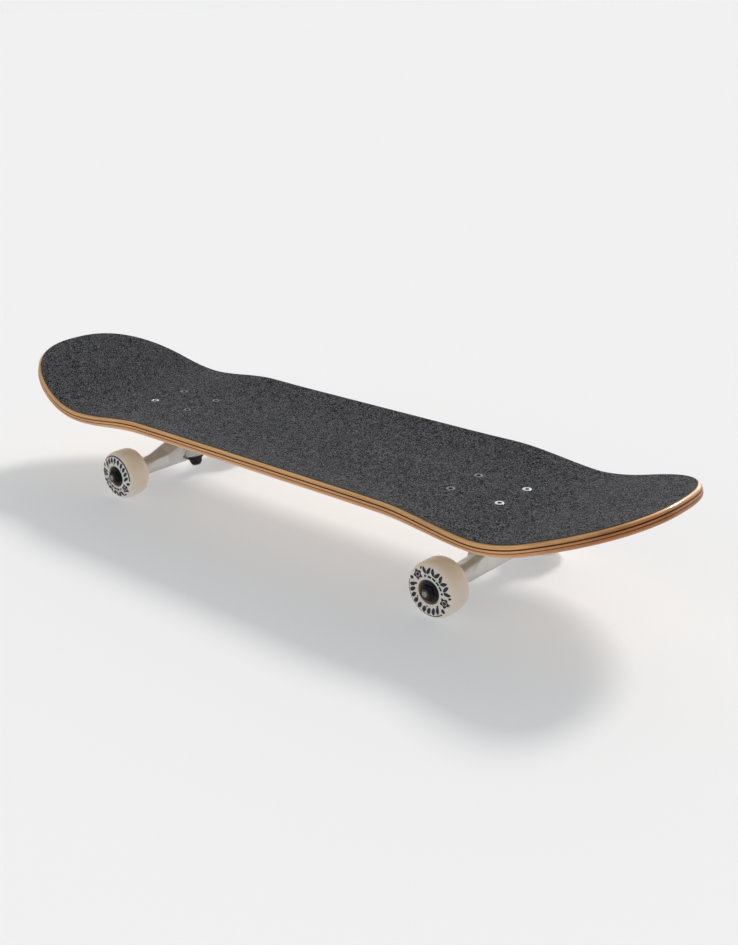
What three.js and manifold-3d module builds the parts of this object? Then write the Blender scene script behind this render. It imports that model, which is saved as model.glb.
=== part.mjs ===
// Skateboard: a double-kick maple deck with griptape, two kingpin trucks and four urethane wheels.
// Millimetres, +Z up. The origin is on the floor, under the middle of the deck's overall length.
// +X points to the tail and -X to the nose. Seen by a rider who faces the nose, left is -Y.
import * as THREE from "three";
import { ConvexGeometry } from "three/addons/geometries/ConvexGeometry.js";
import { mergeVertices } from "three/addons/utils/BufferGeometryUtils.js";
import Module from "manifold-3d";

const wasm = await Module();
wasm.setup();

// ---- Driving dimensions ----

const GAP = 0.3; // clearance between pieces that are bolted or pressed together

// Deck
const WHEELBASE = 362; // between the inner bolt holes
const BOLT_PITCH_X = 54;
const BOLT_PITCH_Y = 41.3;
const NOSE_LENGTH = 171.3; // outer bolt holes to the tip
const TAIL_LENGTH = 162.7;
const DECK_THICKNESS = 10.7;
const GRIP_THICKNESS = 0.7;
const GLUE_LINE = 0.1; // between the deck and the griptape
const GRIP_INSET = 1.3; // the griptape stops where the deck's edge starts to round
const WAIST_HALF_WIDTH = 99.3;
const BELLY_HALF_WIDTH = 101.8; // over the trucks
const BELLY_FROM = 110; // distances from the middle of the wheelbase
const BELLY_TO = 250;
const ROUND_FROM = 270; // the end rounding starts here
const CONCAVE_RISE = 9.4; // rail above the centre line, between the trucks
const CONCAVE_FADE_FROM = 165;
const CONCAVE_FADE_TO = 270;
const FLAT_HALF_WIDTH = 28; // the middle strip that the baseplates need
const KICK_BLEND = 28; // half the length of the bend into a kick

// Trucks and wheels
const TRUCK_HEIGHT = 52; // deck underside to axle
const WHEEL_RADIUS = 26;
const WHEEL_HALF_WIDTH = 14;
const AXLE_RADIUS = 4;
const AXLE_CHAMFER = 0.8;
const AXLE_LENGTH = 203;
const HANGER_LENGTH = 136.6;
const AXLE_OFFSET = -8.7; // axle from the bolt pattern's centre, inboard positive
const KINGPIN_TILT = 12; // degrees, the nut end leans inboard
const KINGPIN_RADIUS = 4.76;
const KINGPIN_END = { x: 11.5, z: -61.5 }; // in the truck's frame
const PIVOT = { x: -30, z: -14 }; // centre of the pivot's ball end
const PIVOT_RADIUS = 5;
const STEER_RANGE = 15; // degrees that a hanger turns each way

const BEARING_RADIUS = 11;
const BEARING_WIDTH = 7;
const WHEEL_CENTRE_Y = HANGER_LENGTH / 2 + 13.5;
const BEARING_OFFSET = 8.5; // bearing centre from the wheel's centre
const SPACER_RADIUS = 6; // the sleeve between a wheel's two bearings
const AXLE_NUT = { acrossFlats: 12.7, length: 6.2 };
const KINGPIN_NUT_FLATS = 14.3;
const LOCK_NUT = { acrossFlats: 9.5, length: 6 };

const UNDERSIDE_Z = WHEEL_RADIUS + TRUCK_HEIGHT;
const DECK_TOP_Z = UNDERSIDE_Z + DECK_THICKNESS;
const GRIP_TOP_Z = DECK_TOP_Z + GLUE_LINE + GRIP_THICKNESS;
const MIDDLE_X = (NOSE_LENGTH - TAIL_LENGTH) / 2; // middle of the wheelbase
const BOLTS_FROM_MIDDLE = WHEELBASE / 2 + BOLT_PITCH_X; // outer bolt holes

// Each end: which way it points, its reach from the middle of the wheelbase, its kick and its rounding.
const NOSE = {
  name: "nose",
  side: -1,
  reach: BOLTS_FROM_MIDDLE + NOSE_LENGTH,
  kickFrom: 294.4,
  kickSlope: Math.tan(THREE.MathUtils.degToRad(20.2)),
  roundPower: 2.27,
  roundRoot: 2.45,
};
const TAIL = {
  name: "tail",
  side: 1,
  reach: BOLTS_FROM_MIDDLE + TAIL_LENGTH,
  kickFrom: 283.9,
  kickSlope: Math.tan(THREE.MathUtils.degToRad(19.2)),
  roundPower: 2.36,
  roundRoot: 2.35,
};

const FINISHES = {
  maple: { color: 0xc08a4e, roughness: 0.4, metalness: 0 },
  griptape: { color: 0x3d3d3f, roughness: 0.95, metalness: 0 },
  cast_aluminium: { color: 0xa8a5a0, roughness: 0.42, metalness: 0.9 },
  steel: { color: 0xb4b4b6, roughness: 0.3, metalness: 1 },
  black_steel: { color: 0x17171a, roughness: 0.45, metalness: 0.6 },
  urethane: { color: 0xd9ceb4, roughness: 0.35, metalness: 0 },
  bushing: { color: 0xc9c6be, roughness: 0.5, metalness: 0 },
  pivot_rubber: { color: 0x1d1d20, roughness: 0.6, metalness: 0 },
  bearing: { color: 0x2a2a2c, roughness: 0.4, metalness: 0.5 },
};

// ---- Helpers ----

function piece(name, geometry, finish) {
  const mesh = new THREE.Mesh(geometry, new THREE.MeshStandardMaterial(FINISHES[finish]));
  mesh.name = name;
  return mesh;
}

function points(...pairs) {
  return pairs.map(([x, y]) => new THREE.Vector2(x, y));
}

// A body of revolution about +Y through the origin; each profile point is [radius, distance along].
function turned(profile, segments) {
  return new THREE.LatheGeometry(points(...profile), segments);
}

// A pierced disc, sleeve or washer about +Y.
function ring(inner, outer, from, to, segments) {
  const section = [[inner, from], [outer, from], [outer, to], [inner, to], [inner, from]];
  return turned(section, segments);
}

function rod(radius, from, to, segments) {
  return turned([[0, from], [radius, from], [radius, to], [0, to]], segments);
}

// A hexagonal nut or bolt head about +Y, from one distance along to another; a bore of 0 leaves it solid.
function hexagon(acrossFlats, bore, from, to) {
  const corner = acrossFlats / Math.sqrt(3);
  const outline = [];
  for (let i = 0; i < 6; i++) {
    const angle = (i * Math.PI) / 3;
    outline.push(new THREE.Vector2(corner * Math.cos(angle), corner * Math.sin(angle)));
  }
  const shape = new THREE.Shape(outline);
  if (bore > 0) shape.holes.push(new THREE.Path().absarc(0, 0, bore, 0, 2 * Math.PI, true));
  const depth = to - from;
  const prism = new THREE.ExtrudeGeometry(shape, { depth, bevelEnabled: false, curveSegments: 6 });
  return prism.rotateX(-Math.PI / 2).translate(0, from, 0);
}

// Places a geometry that was made about +Y on the axis through origin, pointing along direction.
function alongAxis(geometry, axis) {
  const turn = new THREE.Quaternion().setFromUnitVectors(new THREE.Vector3(0, 1, 0), axis.direction);
  geometry.applyQuaternion(turn);
  return geometry.translate(axis.origin.x, axis.origin.y, axis.origin.z);
}

function solid(geometry) {
  const bare = geometry.clone();
  bare.deleteAttribute("normal");
  bare.deleteAttribute("uv");
  const merged = mergeVertices(bare, 1e-4);
  return new wasm.Manifold(
    new wasm.Mesh({
      numProp: 3,
      vertProperties: merged.attributes.position.array,
      triVerts: new Uint32Array(merged.index.array),
    }),
  );
}

function geometryOf(manifold) {
  const mesh = manifold.getMesh();
  const geometry = new THREE.BufferGeometry();
  geometry.setAttribute("position", new THREE.BufferAttribute(mesh.vertProperties, mesh.numProp));
  geometry.setIndex(new THREE.BufferAttribute(mesh.triVerts, 1));
  return geometry;
}

function joined(geometries) {
  return geometries.map(solid).reduce((whole, next) => whole.add(next));
}

function cut(manifold, tools) {
  return tools.map(solid).reduce((left, tool) => left.subtract(tool), manifold);
}

// ---- Deck and griptape ----

const ACROSS = [-1, -0.77, -0.53, -0.28, 0, 0.28, 0.53, 0.77, 1]; // columns, as parts of the half width
const END_ROWS = 11;
const CENTRE_ROWS = [110, 165, 182, 200, 218, 235, 252, 270];

// Half the outline's width at a distance from the middle of the wheelbase.
function halfWidth(end, distance, inset) {
  const belly = THREE.MathUtils.smoothstep(distance, BELLY_FROM, BELLY_TO);
  const straight = THREE.MathUtils.lerp(WAIST_HALF_WIDTH, BELLY_HALF_WIDTH, belly) - inset;
  const beyond = Math.max(0, distance - ROUND_FROM) / (end.reach - inset - ROUND_FROM);
  return straight * Math.pow(Math.max(0, 1 - Math.pow(beyond, end.roundPower)), 1 / end.roundRoot);
}

// Height of the deck's top face above its flat middle.
function rise(x, y) {
  const end = x < MIDDLE_X ? NOSE : TAIL;
  const distance = Math.abs(x - MIDDLE_X);
  const into = THREE.MathUtils.clamp(distance - end.kickFrom + KICK_BLEND, 0, 2 * KICK_BLEND);
  const past = Math.max(0, distance - end.kickFrom - KICK_BLEND);
  const kick = end.kickSlope * ((into * into) / (4 * KICK_BLEND) + past);
  const fade = 1 - THREE.MathUtils.smoothstep(distance, CONCAVE_FADE_FROM, CONCAVE_FADE_TO);
  const off = Math.max(0, Math.abs(y) - FLAT_HALF_WIDTH) / (WAIST_HALF_WIDTH - FLAT_HALF_WIDTH);
  return kick + CONCAVE_RISE * fade * off * off;
}

// The point at a height above the deck's top face, measured square to it.
function boardPoint(x, y, height) {
  const step = 0.5;
  const slopeX = (rise(x + step, y) - rise(x - step, y)) / (2 * step);
  const slopeY = (rise(x, y + step) - rise(x, y - step)) / (2 * step);
  const normal = new THREE.Vector3(-slopeX, -slopeY, 1).normalize();
  return normal.multiplyScalar(height).add(new THREE.Vector3(x, y, DECK_TOP_Z + rise(x, y)));
}

// Rows of points over the whole outline, from the nose tip to the tail tip.
function boardLayer(inset, height) {
  const rowsOf = (end) => {
    const distances = [...CENTRE_ROWS];
    for (let i = 1; i <= END_ROWS; i++) {
      const part = Math.pow(Math.sin((i * Math.PI) / 2 / END_ROWS), 2 / end.roundPower);
      distances.push(THREE.MathUtils.lerp(ROUND_FROM, end.reach - inset, part));
    }
    return distances.map((distance) => ({ end, distance }));
  };
  const rows = [...rowsOf(NOSE).reverse(), { end: TAIL, distance: 0 }, ...rowsOf(TAIL)];
  return rows.map(({ end, distance }) => {
    const x = MIDDLE_X + end.side * distance;
    const width = halfWidth(end, distance, inset);
    return ACROSS.map((part) => boardPoint(x, part * width, height));
  });
}

function addTriangle(corners, a, b, c) {
  if (!a.equals(b) && !b.equals(c) && !c.equals(a)) corners.push(a, b, c);
}

function addQuad(corners, a, b, c, d) {
  addTriangle(corners, a, b, c);
  addTriangle(corners, a, c, d);
}

// A closed sheet over the board's outline. The layers run from its top face down to its bottom face.
function boardSheet(layers) {
  const grids = layers.map(([inset, height]) => boardLayer(inset, height));
  const top = grids[0];
  const bottom = grids[grids.length - 1];
  const last = ACROSS.length - 1;
  const corners = [];
  for (let i = 0; i + 1 < top.length; i++) {
    for (let j = 0; j < last; j++) {
      addQuad(corners, top[i][j], top[i + 1][j], top[i + 1][j + 1], top[i][j + 1]);
      addQuad(corners, bottom[i][j], bottom[i][j + 1], bottom[i + 1][j + 1], bottom[i + 1][j]);
    }
    for (let k = 0; k + 1 < grids.length; k++) {
      const [upper, lower] = [grids[k], grids[k + 1]];
      addQuad(corners, upper[i][0], lower[i][0], lower[i + 1][0], upper[i + 1][0]);
      addQuad(corners, upper[i][last], upper[i + 1][last], lower[i + 1][last], lower[i][last]);
    }
  }
  return new THREE.BufferGeometry().setFromPoints(corners);
}

const BOLT_HEAD_RADIUS = 4.3;
const BOLT_RADIUS = 2.4;
const BOLT_LENGTH = 25.2;
const BOLT_HEAD_DEPTH = 2.6;
const BOLT_RIM = 0.5; // straight part of the head's edge
const RECESS = { radius: 1.9, floorRadius: 1.6, depth: 1.6 };
const BOLT_TOP_Z = GRIP_TOP_Z - 0.05;

// A countersunk bolt with a round driving recess, its top face at y = 0.
const boltGeometry = turned(
  [
    [0, -BOLT_LENGTH],
    [BOLT_RADIUS - 0.5, -BOLT_LENGTH],
    [BOLT_RADIUS, 0.6 - BOLT_LENGTH],
    [BOLT_RADIUS, -BOLT_HEAD_DEPTH],
    [BOLT_HEAD_RADIUS, -BOLT_RIM],
    [BOLT_HEAD_RADIUS, 0],
    [RECESS.radius, 0],
    [RECESS.floorRadius, -RECESS.depth],
    [0, -RECESS.depth],
  ],
  12,
).rotateX(Math.PI / 2);

// The countersunk hole that the bolt goes through, a little larger than the bolt all over.
const boltHole = turned(
  [
    [0, -2 * BOLT_LENGTH],
    [BOLT_RADIUS + GAP, -2 * BOLT_LENGTH],
    [BOLT_RADIUS + GAP, -BOLT_HEAD_DEPTH - GAP],
    [BOLT_HEAD_RADIUS + GAP, -BOLT_RIM - GAP],
    [BOLT_HEAD_RADIUS + GAP, 2],
    [0, 2],
  ],
  12,
).rotateX(Math.PI / 2);

// The bolt places of one truck, in the truck's frame: inboard or outboard, and to one side or the other.
function boltPlaces() {
  const places = [];
  for (const x of [-1, 1]) {
    for (const y of [-1, 1]) {
      places.push({ x: (x * BOLT_PITCH_X) / 2, y: (y * BOLT_PITCH_Y) / 2 });
    }
  }
  return places;
}

function truckCentreX(end) {
  return MIDDLE_X + end.side * (BOLTS_FROM_MIDDLE - BOLT_PITCH_X / 2);
}

function boardHoles() {
  return [NOSE, TAIL].flatMap((end) =>
    boltPlaces().map(({ x, y }) => boltHole.clone().translate(truckCentreX(end) + x, y, BOLT_TOP_Z)),
  );
}

function buildBoard() {
  const board = new THREE.Group();
  const shoulder = 0.3 * DECK_THICKNESS; // where the rounded edge is widest
  const deck = boardSheet([
    [GRIP_INSET, 0],
    [0, -shoulder],
    [0, shoulder - DECK_THICKNESS],
    [GRIP_INSET, -DECK_THICKNESS],
  ]);
  const grip = boardSheet([
    [GRIP_INSET, GLUE_LINE + GRIP_THICKNESS],
    [GRIP_INSET, GLUE_LINE],
  ]);
  board.add(piece("deck", geometryOf(cut(solid(deck), boardHoles())), "maple"));
  board.add(piece("griptape", geometryOf(cut(solid(grip), boardHoles())), "griptape"));
  return board;
}

// ---- Trucks ----
// A truck's frame: the origin is on the deck's underside at the bolt pattern's centre, +X points inboard.

const PLATE_LENGTH = 81;
const PLATE_WIDTH = 55;
const PLATE_THICKNESS = 5.7;
const PLATE_CORNER = 8;
const HOUSING = { radius: 9.2, sides: 16 }; // the hanger's tube round the axle
const ROAD_WASHER_RADIUS = 10.6;

// The hanger's wings rise from the axle towards the pivot.
const WING = { lean: new THREE.Vector3(-0.451, 0, 0.892), halfThickness: 3 };

// Stations of the hanger's body: distance from the centre plane, how far the housing is shifted from the
// axle, the wing's height over the axle, and the inboard corners as [x, z] from the axle.
const HANGER_STATIONS = [
  { y: 0, shift: -0.8, wing: 24, inboard: [[24, 12.3], [22.5, 19.1]] },
  { y: 15, shift: -0.8, wing: 19.8, inboard: [[17.1, 10.8], [15.7, 17.7]] },
  { y: 30, shift: -0.8, wing: 15.2, inboard: [[9.3, 2.5], [9.2, 8]] },
  { y: 44, shift: -0.8, wing: 11, inboard: [[8.7, 0.5], [8.9, 7.2]] },
  { y: 60, shift: 0, wing: 5, inboard: [[6.6, 6.4]] },
];

const tilt = THREE.MathUtils.degToRad(KINGPIN_TILT);
const KINGPIN_AXIS = {
  origin: new THREE.Vector3(KINGPIN_END.x, 0, KINGPIN_END.z),
  direction: new THREE.Vector3(-Math.sin(tilt), 0, Math.cos(tilt)),
};
const AXLE_AXIS = {
  origin: new THREE.Vector3(AXLE_OFFSET, 0, -TRUCK_HEIGHT),
  direction: new THREE.Vector3(0, 1, 0),
};

// Distances along the kingpin from its nut end.
const NUT_FROM = 1.5;
const ROAD_WASHER_FROM = 8.4;
const ROAD_BUSHING_FROM = 10.3;
const RING_FROM = 20;
const RING_TO = 28;
const BOARD_WASHER_FROM = 43;
const BOSS_FROM = 45;
const HEAD_FROM = 52;
const HEAD_TO = 57.5;
const WASHER_THICKNESS = 1.6;

// The hanger turns about the line from the pivot's ball end to the middle of its kingpin ring.
const ringCentre = KINGPIN_AXIS.direction.clone().multiplyScalar((RING_FROM + RING_TO) / 2);
ringCentre.add(KINGPIN_AXIS.origin);
const pivotCentre = new THREE.Vector3(PIVOT.x, 0, PIVOT.z);
const STEER_AXIS = {
  origin: pivotCentre,
  direction: ringCentre.clone().sub(pivotCentre).normalize(),
};

// Distances along the steering axis from the centre of the ball end.
const CUP_RADIUS = 7.6;
const CUP_FROM = -6.8;
const CUP_TO = 5.4;

function onKingpin(geometry) {
  return alongAxis(geometry, KINGPIN_AXIS);
}

function onSteerAxis(geometry) {
  return alongAxis(geometry, STEER_AXIS);
}

// Turns a geometry about the steering axis.
function steered(geometry, degrees) {
  const turn = new THREE.Quaternion().setFromAxisAngle(
    STEER_AXIS.direction,
    THREE.MathUtils.degToRad(degrees),
  );
  geometry.translate(-PIVOT.x, 0, -PIVOT.z).applyQuaternion(turn);
  return geometry.translate(PIVOT.x, 0, PIVOT.z);
}

// Points of a quarter circle about the axis, from the pole at -radius to the equator.
function ballEnd(radius, steps) {
  const arc = [];
  for (let i = 0; i <= steps; i++) {
    const angle = (i * Math.PI) / 2 / steps;
    arc.push([radius * Math.sin(angle), -radius * Math.cos(angle)]);
  }
  return arc;
}

function roundedRectangle(length, width, corner) {
  const [x, y] = [length / 2, width / 2];
  const shape = new THREE.Shape();
  shape.absarc(x - corner, y - corner, corner, 0, Math.PI / 2);
  shape.absarc(corner - x, y - corner, corner, Math.PI / 2, Math.PI);
  shape.absarc(corner - x, corner - y, corner, Math.PI, 1.5 * Math.PI);
  shape.absarc(x - corner, corner - y, corner, 1.5 * Math.PI, 2 * Math.PI);
  return shape;
}

function baseplateGeometry() {
  const outline = roundedRectangle(PLATE_LENGTH, PLATE_WIDTH, PLATE_CORNER);
  const plate = new THREE.ExtrudeGeometry(outline, {
    depth: PLATE_THICKNESS,
    bevelEnabled: false,
    curveSegments: 4,
  }).translate(0, 0, -GAP - PLATE_THICKNESS);
  const boss = onKingpin(turned([[0, BOSS_FROM], [12.5, BOSS_FROM], [19, 62], [19, 75], [0, 75]], 20));
  const housingWall = [[7, -9.4], [10.2, -7], [10.2, CUP_TO]];
  const cupHousing = onSteerAxis(turned([[0, -9.4], ...housingWall, [0, CUP_TO]], 20));
  const spine = new THREE.BoxGeometry(34, 13, 12).translate(-18, 0, -9);
  const aboveDeckLine = new THREE.BoxGeometry(200, 200, 60).translate(0, 0, 30 - GAP);
  const kingpinHole = onKingpin(rod(KINGPIN_RADIUS + GAP, 0, 80, 16));
  const headPocket = onKingpin(rod(9, HEAD_FROM - GAP, 80, 16));
  const cupSeat = onSteerAxis(rod(CUP_RADIUS + GAP, CUP_FROM - GAP, CUP_TO + 1, 20));
  const pivotSweep = onSteerAxis(turned([[0, CUP_TO], [8, CUP_TO], [14, 26], [0, 26]], 20));
  const boltHoles = boltPlaces().map(({ x, y }) =>
    rod(BOLT_RADIUS + GAP, -20, 20, 12).rotateX(Math.PI / 2).translate(x, y, 0),
  );
  const body = joined([plate, boss, cupHousing, spine]);
  const tools = [aboveDeckLine, kingpinHole, headPocket, cupSeat, pivotSweep, ...boltHoles];
  return geometryOf(cut(body, tools));
}

// The hanger's cross-section at one station, as points at a distance y from the centre plane: the round
// housing, the wing's tip and the corners on the inboard side, all measured from the axle.
function hangerSection(station, y) {
  const section = [];
  const add = (x, z) => section.push(new THREE.Vector3(AXLE_OFFSET + x, y, z - TRUCK_HEIGHT));
  for (let i = 0; i < HOUSING.sides; i++) {
    const angle = (2 * Math.PI * i) / HOUSING.sides;
    add(station.shift + HOUSING.radius * Math.sin(angle), HOUSING.radius * Math.cos(angle));
  }
  for (const half of [-WING.halfThickness, WING.halfThickness]) {
    add(
      WING.lean.x * station.wing + WING.lean.z * half,
      WING.lean.z * station.wing - WING.lean.x * half,
    );
  }
  station.inboard.forEach(([x, z]) => add(x, z));
  return section;
}

// The body of the hanger, from the middle out to one end, as blocks between its stations.
function hangerArm(side) {
  const sections = HANGER_STATIONS.map((station) => hangerSection(station, side * station.y));
  return sections.slice(1).map((outer, i) => new ConvexGeometry([...sections[i], ...outer]));
}

function hangerGeometry() {
  const halfLength = HANGER_LENGTH / 2;
  const beam = alongAxis(
    turned(
      [
        [0, -halfLength],
        [HOUSING.radius - 0.8, -halfLength],
        [HOUSING.radius, 1.2 - halfLength],
        [HOUSING.radius, halfLength - 1.2],
        [HOUSING.radius - 0.8, halfLength],
        [0, halfLength],
      ],
      HOUSING.sides,
    ),
    AXLE_AXIS,
  );
  const collar = onKingpin(rod(16, RING_FROM, RING_TO, 24));
  const neck = [[PIVOT_RADIUS, 6], [6.2, 8], [8, 15], [11, 26], [12, 34], [0, 34]];
  const stalk = onSteerAxis(turned([...ballEnd(PIVOT_RADIUS, 4), ...neck], 16));
  const ringHole = onKingpin(rod(7, 12, 40, 16));
  const steerPlaces = [-STEER_RANGE, 0, STEER_RANGE];
  const boardSideSpaces = steerPlaces.map((degrees) =>
    steered(onKingpin(rod(13, RING_TO, 60, 20)), degrees),
  );
  const roadSideSpaces = steerPlaces.map((degrees) =>
    steered(onKingpin(rod(ROAD_WASHER_RADIUS + 0.8, -20, ROAD_BUSHING_FROM, 20)), degrees),
  );
  const coneSpace = [
    [0, ROAD_BUSHING_FROM - 1],
    [ROAD_WASHER_RADIUS + 0.8, ROAD_BUSHING_FROM - 1],
    [12.2, RING_FROM],
    [0, RING_FROM],
  ];
  const axleBore = alongAxis(rod(AXLE_RADIUS + GAP, -80, 80, 16), AXLE_AXIS);
  const body = joined([beam, ...hangerArm(-1), ...hangerArm(1), collar, stalk]);
  const spaces = [...boardSideSpaces, ...roadSideSpaces, onKingpin(turned(coneSpace, 20))];
  return geometryOf(cut(body, [ringHole, ...spaces, axleBore]));
}

function kingpinGeometry() {
  const shank = rod(KINGPIN_RADIUS, 0, HEAD_FROM + 1, 16);
  const head = hexagon(KINGPIN_NUT_FLATS, 0, HEAD_FROM, HEAD_TO);
  return onKingpin(geometryOf(joined([shank, head])));
}

function bushingGeometries() {
  const bore = KINGPIN_RADIUS + GAP;
  const [boardFrom, boardTo] = [RING_TO + GAP, BOARD_WASHER_FROM - GAP];
  const barrelSection = [
    [bore, boardFrom],
    [11.4, boardFrom],
    [12.2, (boardFrom + boardTo) / 2],
    [11.4, boardTo],
    [bore, boardTo],
    [bore, boardFrom],
  ];
  const [roadFrom, roadTo] = [ROAD_BUSHING_FROM, RING_FROM - GAP];
  const coneSection = [
    [bore, roadFrom],
    [9.8, roadFrom],
    [11.2, roadTo],
    [bore, roadTo],
    [bore, roadFrom],
  ];
  return {
    boardside: onKingpin(turned(barrelSection, 20)),
    roadside: onKingpin(turned(coneSection, 20)),
  };
}

function washerGeometry(outer, from) {
  return onKingpin(ring(KINGPIN_RADIUS + GAP, outer, from, from + WASHER_THICKNESS, 20));
}

function pivotCupGeometry() {
  const cavity = ballEnd(PIVOT_RADIUS + GAP, 4).reverse();
  const outside = [[0, CUP_FROM], [CUP_RADIUS, CUP_FROM], [CUP_RADIUS, CUP_TO]];
  return onSteerAxis(turned([...outside, [PIVOT_RADIUS + GAP, CUP_TO], ...cavity], 16));
}

// A wheel about +Y, centred on the origin: tread, rounded lips, two bores and the rib between them.
function wheelGeometry() {
  const seat = BEARING_RADIUS + GAP;
  const seatInner = BEARING_OFFSET - BEARING_WIDTH / 2 - GAP;
  const half = [
    [9.5, seatInner],
    [seat, seatInner],
    [seat, WHEEL_HALF_WIDTH - 0.6],
    [seat + 0.6, WHEEL_HALF_WIDTH],
    [20.4, WHEEL_HALF_WIDTH],
    [24.1, WHEEL_HALF_WIDTH - 2.3],
    [WHEEL_RADIUS, WHEEL_HALF_WIDTH - 6.4],
  ];
  const inboardSide = half.map(([radius, along]) => [radius, -along]);
  const outboardSide = [...half].reverse();
  return turned([...inboardSide, ...outboardSide, inboardSide[0]], 28);
}

function axleGeometry() {
  const end = AXLE_LENGTH / 2;
  const tip = AXLE_RADIUS - AXLE_CHAMFER;
  const profile = [
    [0, -end],
    [tip, -end],
    [AXLE_RADIUS, AXLE_CHAMFER - end],
    [AXLE_RADIUS, end - AXLE_CHAMFER],
    [tip, end],
    [0, end],
  ];
  return alongAxis(turned(profile, 16), AXLE_AXIS);
}

function addWheel(truck, name, side) {
  const wheel = new THREE.Group();
  wheel.position.set(AXLE_OFFSET, side * WHEEL_CENTRE_Y, -TRUCK_HEIGHT);
  wheel.rotation.z = side < 0 ? Math.PI : 0;
  const bearing = ring(AXLE_RADIUS + GAP, BEARING_RADIUS, -BEARING_WIDTH / 2, BEARING_WIDTH / 2, 18);
  const spacerEnd = BEARING_OFFSET - BEARING_WIDTH / 2 - GAP;
  const nutFrom = BEARING_OFFSET + BEARING_WIDTH / 2 + 1;
  const spacer = ring(AXLE_RADIUS + GAP, SPACER_RADIUS, -spacerEnd, spacerEnd, 16);
  const nut = hexagon(AXLE_NUT.acrossFlats, AXLE_RADIUS + GAP, nutFrom, nutFrom + AXLE_NUT.length);
  wheel.add(piece(`${name}_wheel`, wheelGeometry(), "urethane"));
  wheel.add(piece(`${name}_bearing_outboard`, bearing.clone().translate(0, BEARING_OFFSET, 0), "bearing"));
  wheel.add(piece(`${name}_bearing_inboard`, bearing.clone().translate(0, -BEARING_OFFSET, 0), "bearing"));
  wheel.add(piece(`${name}_bearing_spacer`, spacer, "steel"));
  wheel.add(piece(`${name}_axle_nut`, nut, "black_steel"));
  truck.add(wheel);
}

function buildTruck(end) {
  const truck = new THREE.Group();
  const turnedRound = end.side > 0;
  truck.position.set(truckCentreX(end), 0, UNDERSIDE_Z);
  truck.rotation.z = turnedRound ? Math.PI : 0;
  const add = (name, geometry, finish) => truck.add(piece(`${end.name}_${name}`, geometry, finish));

  add("baseplate", baseplateGeometry(), "cast_aluminium");
  add("pivot_cup", pivotCupGeometry(), "pivot_rubber");
  add("kingpin", kingpinGeometry(), "steel");
  const kingpinNut = hexagon(KINGPIN_NUT_FLATS, KINGPIN_RADIUS + GAP, NUT_FROM, ROAD_WASHER_FROM - GAP);
  add("kingpin_nut", onKingpin(kingpinNut), "black_steel");
  const bushings = bushingGeometries();
  add("bushing_boardside", bushings.boardside, "bushing");
  add("bushing_roadside", bushings.roadside, "bushing");
  add("washer_boardside", washerGeometry(12.4, BOARD_WASHER_FROM), "black_steel");
  add("washer_roadside", washerGeometry(ROAD_WASHER_RADIUS, ROAD_WASHER_FROM), "black_steel");
  add("hanger", hangerGeometry(), "cast_aluminium");
  add("axle", axleGeometry(), "steel");

  boltPlaces().forEach(({ x, y }) => {
    const lengthwise = x > 0 ? "inner" : "outer";
    const sideways = turnedRound === y < 0 ? "right" : "left";
    const name = `${lengthwise}_${sideways}`;
    const boltTop = BOLT_TOP_Z - UNDERSIDE_Z;
    const nutTop = -PLATE_THICKNESS - 2 * GAP;
    const nut = hexagon(LOCK_NUT.acrossFlats, BOLT_RADIUS + GAP, nutTop - LOCK_NUT.length, nutTop);
    nut.rotateX(Math.PI / 2).translate(x, y, 0);
    add(`bolt_${name}`, boltGeometry.clone().translate(x, y, boltTop), "steel");
    add(`lock_nut_${name}`, nut, "steel");
  });

  for (const side of [-1, 1]) {
    const hand = turnedRound === side < 0 ? "right" : "left";
    addWheel(truck, `${end.name}_${hand}`, side);
  }
  return truck;
}

const skateboard = new THREE.Group();
skateboard.name = "skateboard";
skateboard.add(buildBoard(), buildTruck(NOSE), buildTruck(TAIL));

export default skateboard;
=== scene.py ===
import math
import random
from contextlib import contextmanager

import bmesh
import bpy
import numpy as np
from mathutils import Matrix, Vector


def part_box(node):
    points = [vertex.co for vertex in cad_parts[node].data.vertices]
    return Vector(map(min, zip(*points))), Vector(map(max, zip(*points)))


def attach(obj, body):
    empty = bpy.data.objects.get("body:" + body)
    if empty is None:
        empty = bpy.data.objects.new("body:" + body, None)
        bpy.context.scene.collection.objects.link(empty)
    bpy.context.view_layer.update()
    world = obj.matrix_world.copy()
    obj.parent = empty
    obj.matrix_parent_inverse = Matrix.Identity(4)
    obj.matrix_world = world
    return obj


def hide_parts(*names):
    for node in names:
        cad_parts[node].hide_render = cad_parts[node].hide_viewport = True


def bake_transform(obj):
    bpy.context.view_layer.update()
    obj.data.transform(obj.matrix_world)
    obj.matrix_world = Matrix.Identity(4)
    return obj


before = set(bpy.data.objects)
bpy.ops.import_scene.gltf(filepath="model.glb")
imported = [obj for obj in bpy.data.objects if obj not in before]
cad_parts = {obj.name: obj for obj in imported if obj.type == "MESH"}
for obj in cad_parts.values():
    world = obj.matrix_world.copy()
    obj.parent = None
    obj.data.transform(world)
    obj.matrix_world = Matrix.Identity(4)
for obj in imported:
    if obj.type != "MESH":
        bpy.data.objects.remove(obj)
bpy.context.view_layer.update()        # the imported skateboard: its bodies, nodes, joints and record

# Sizes are in millimetres, and MM turns them into the frame's metres. -X is the nose, and left is -Y.
MM = 0.001
ENDS = ("nose", "tail")
HANDS = {"left": -1, "right": 1}
STEPS = 96  # sides of a turned piece

# ---- The deck's outline and surface, as in the CAD ----

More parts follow.
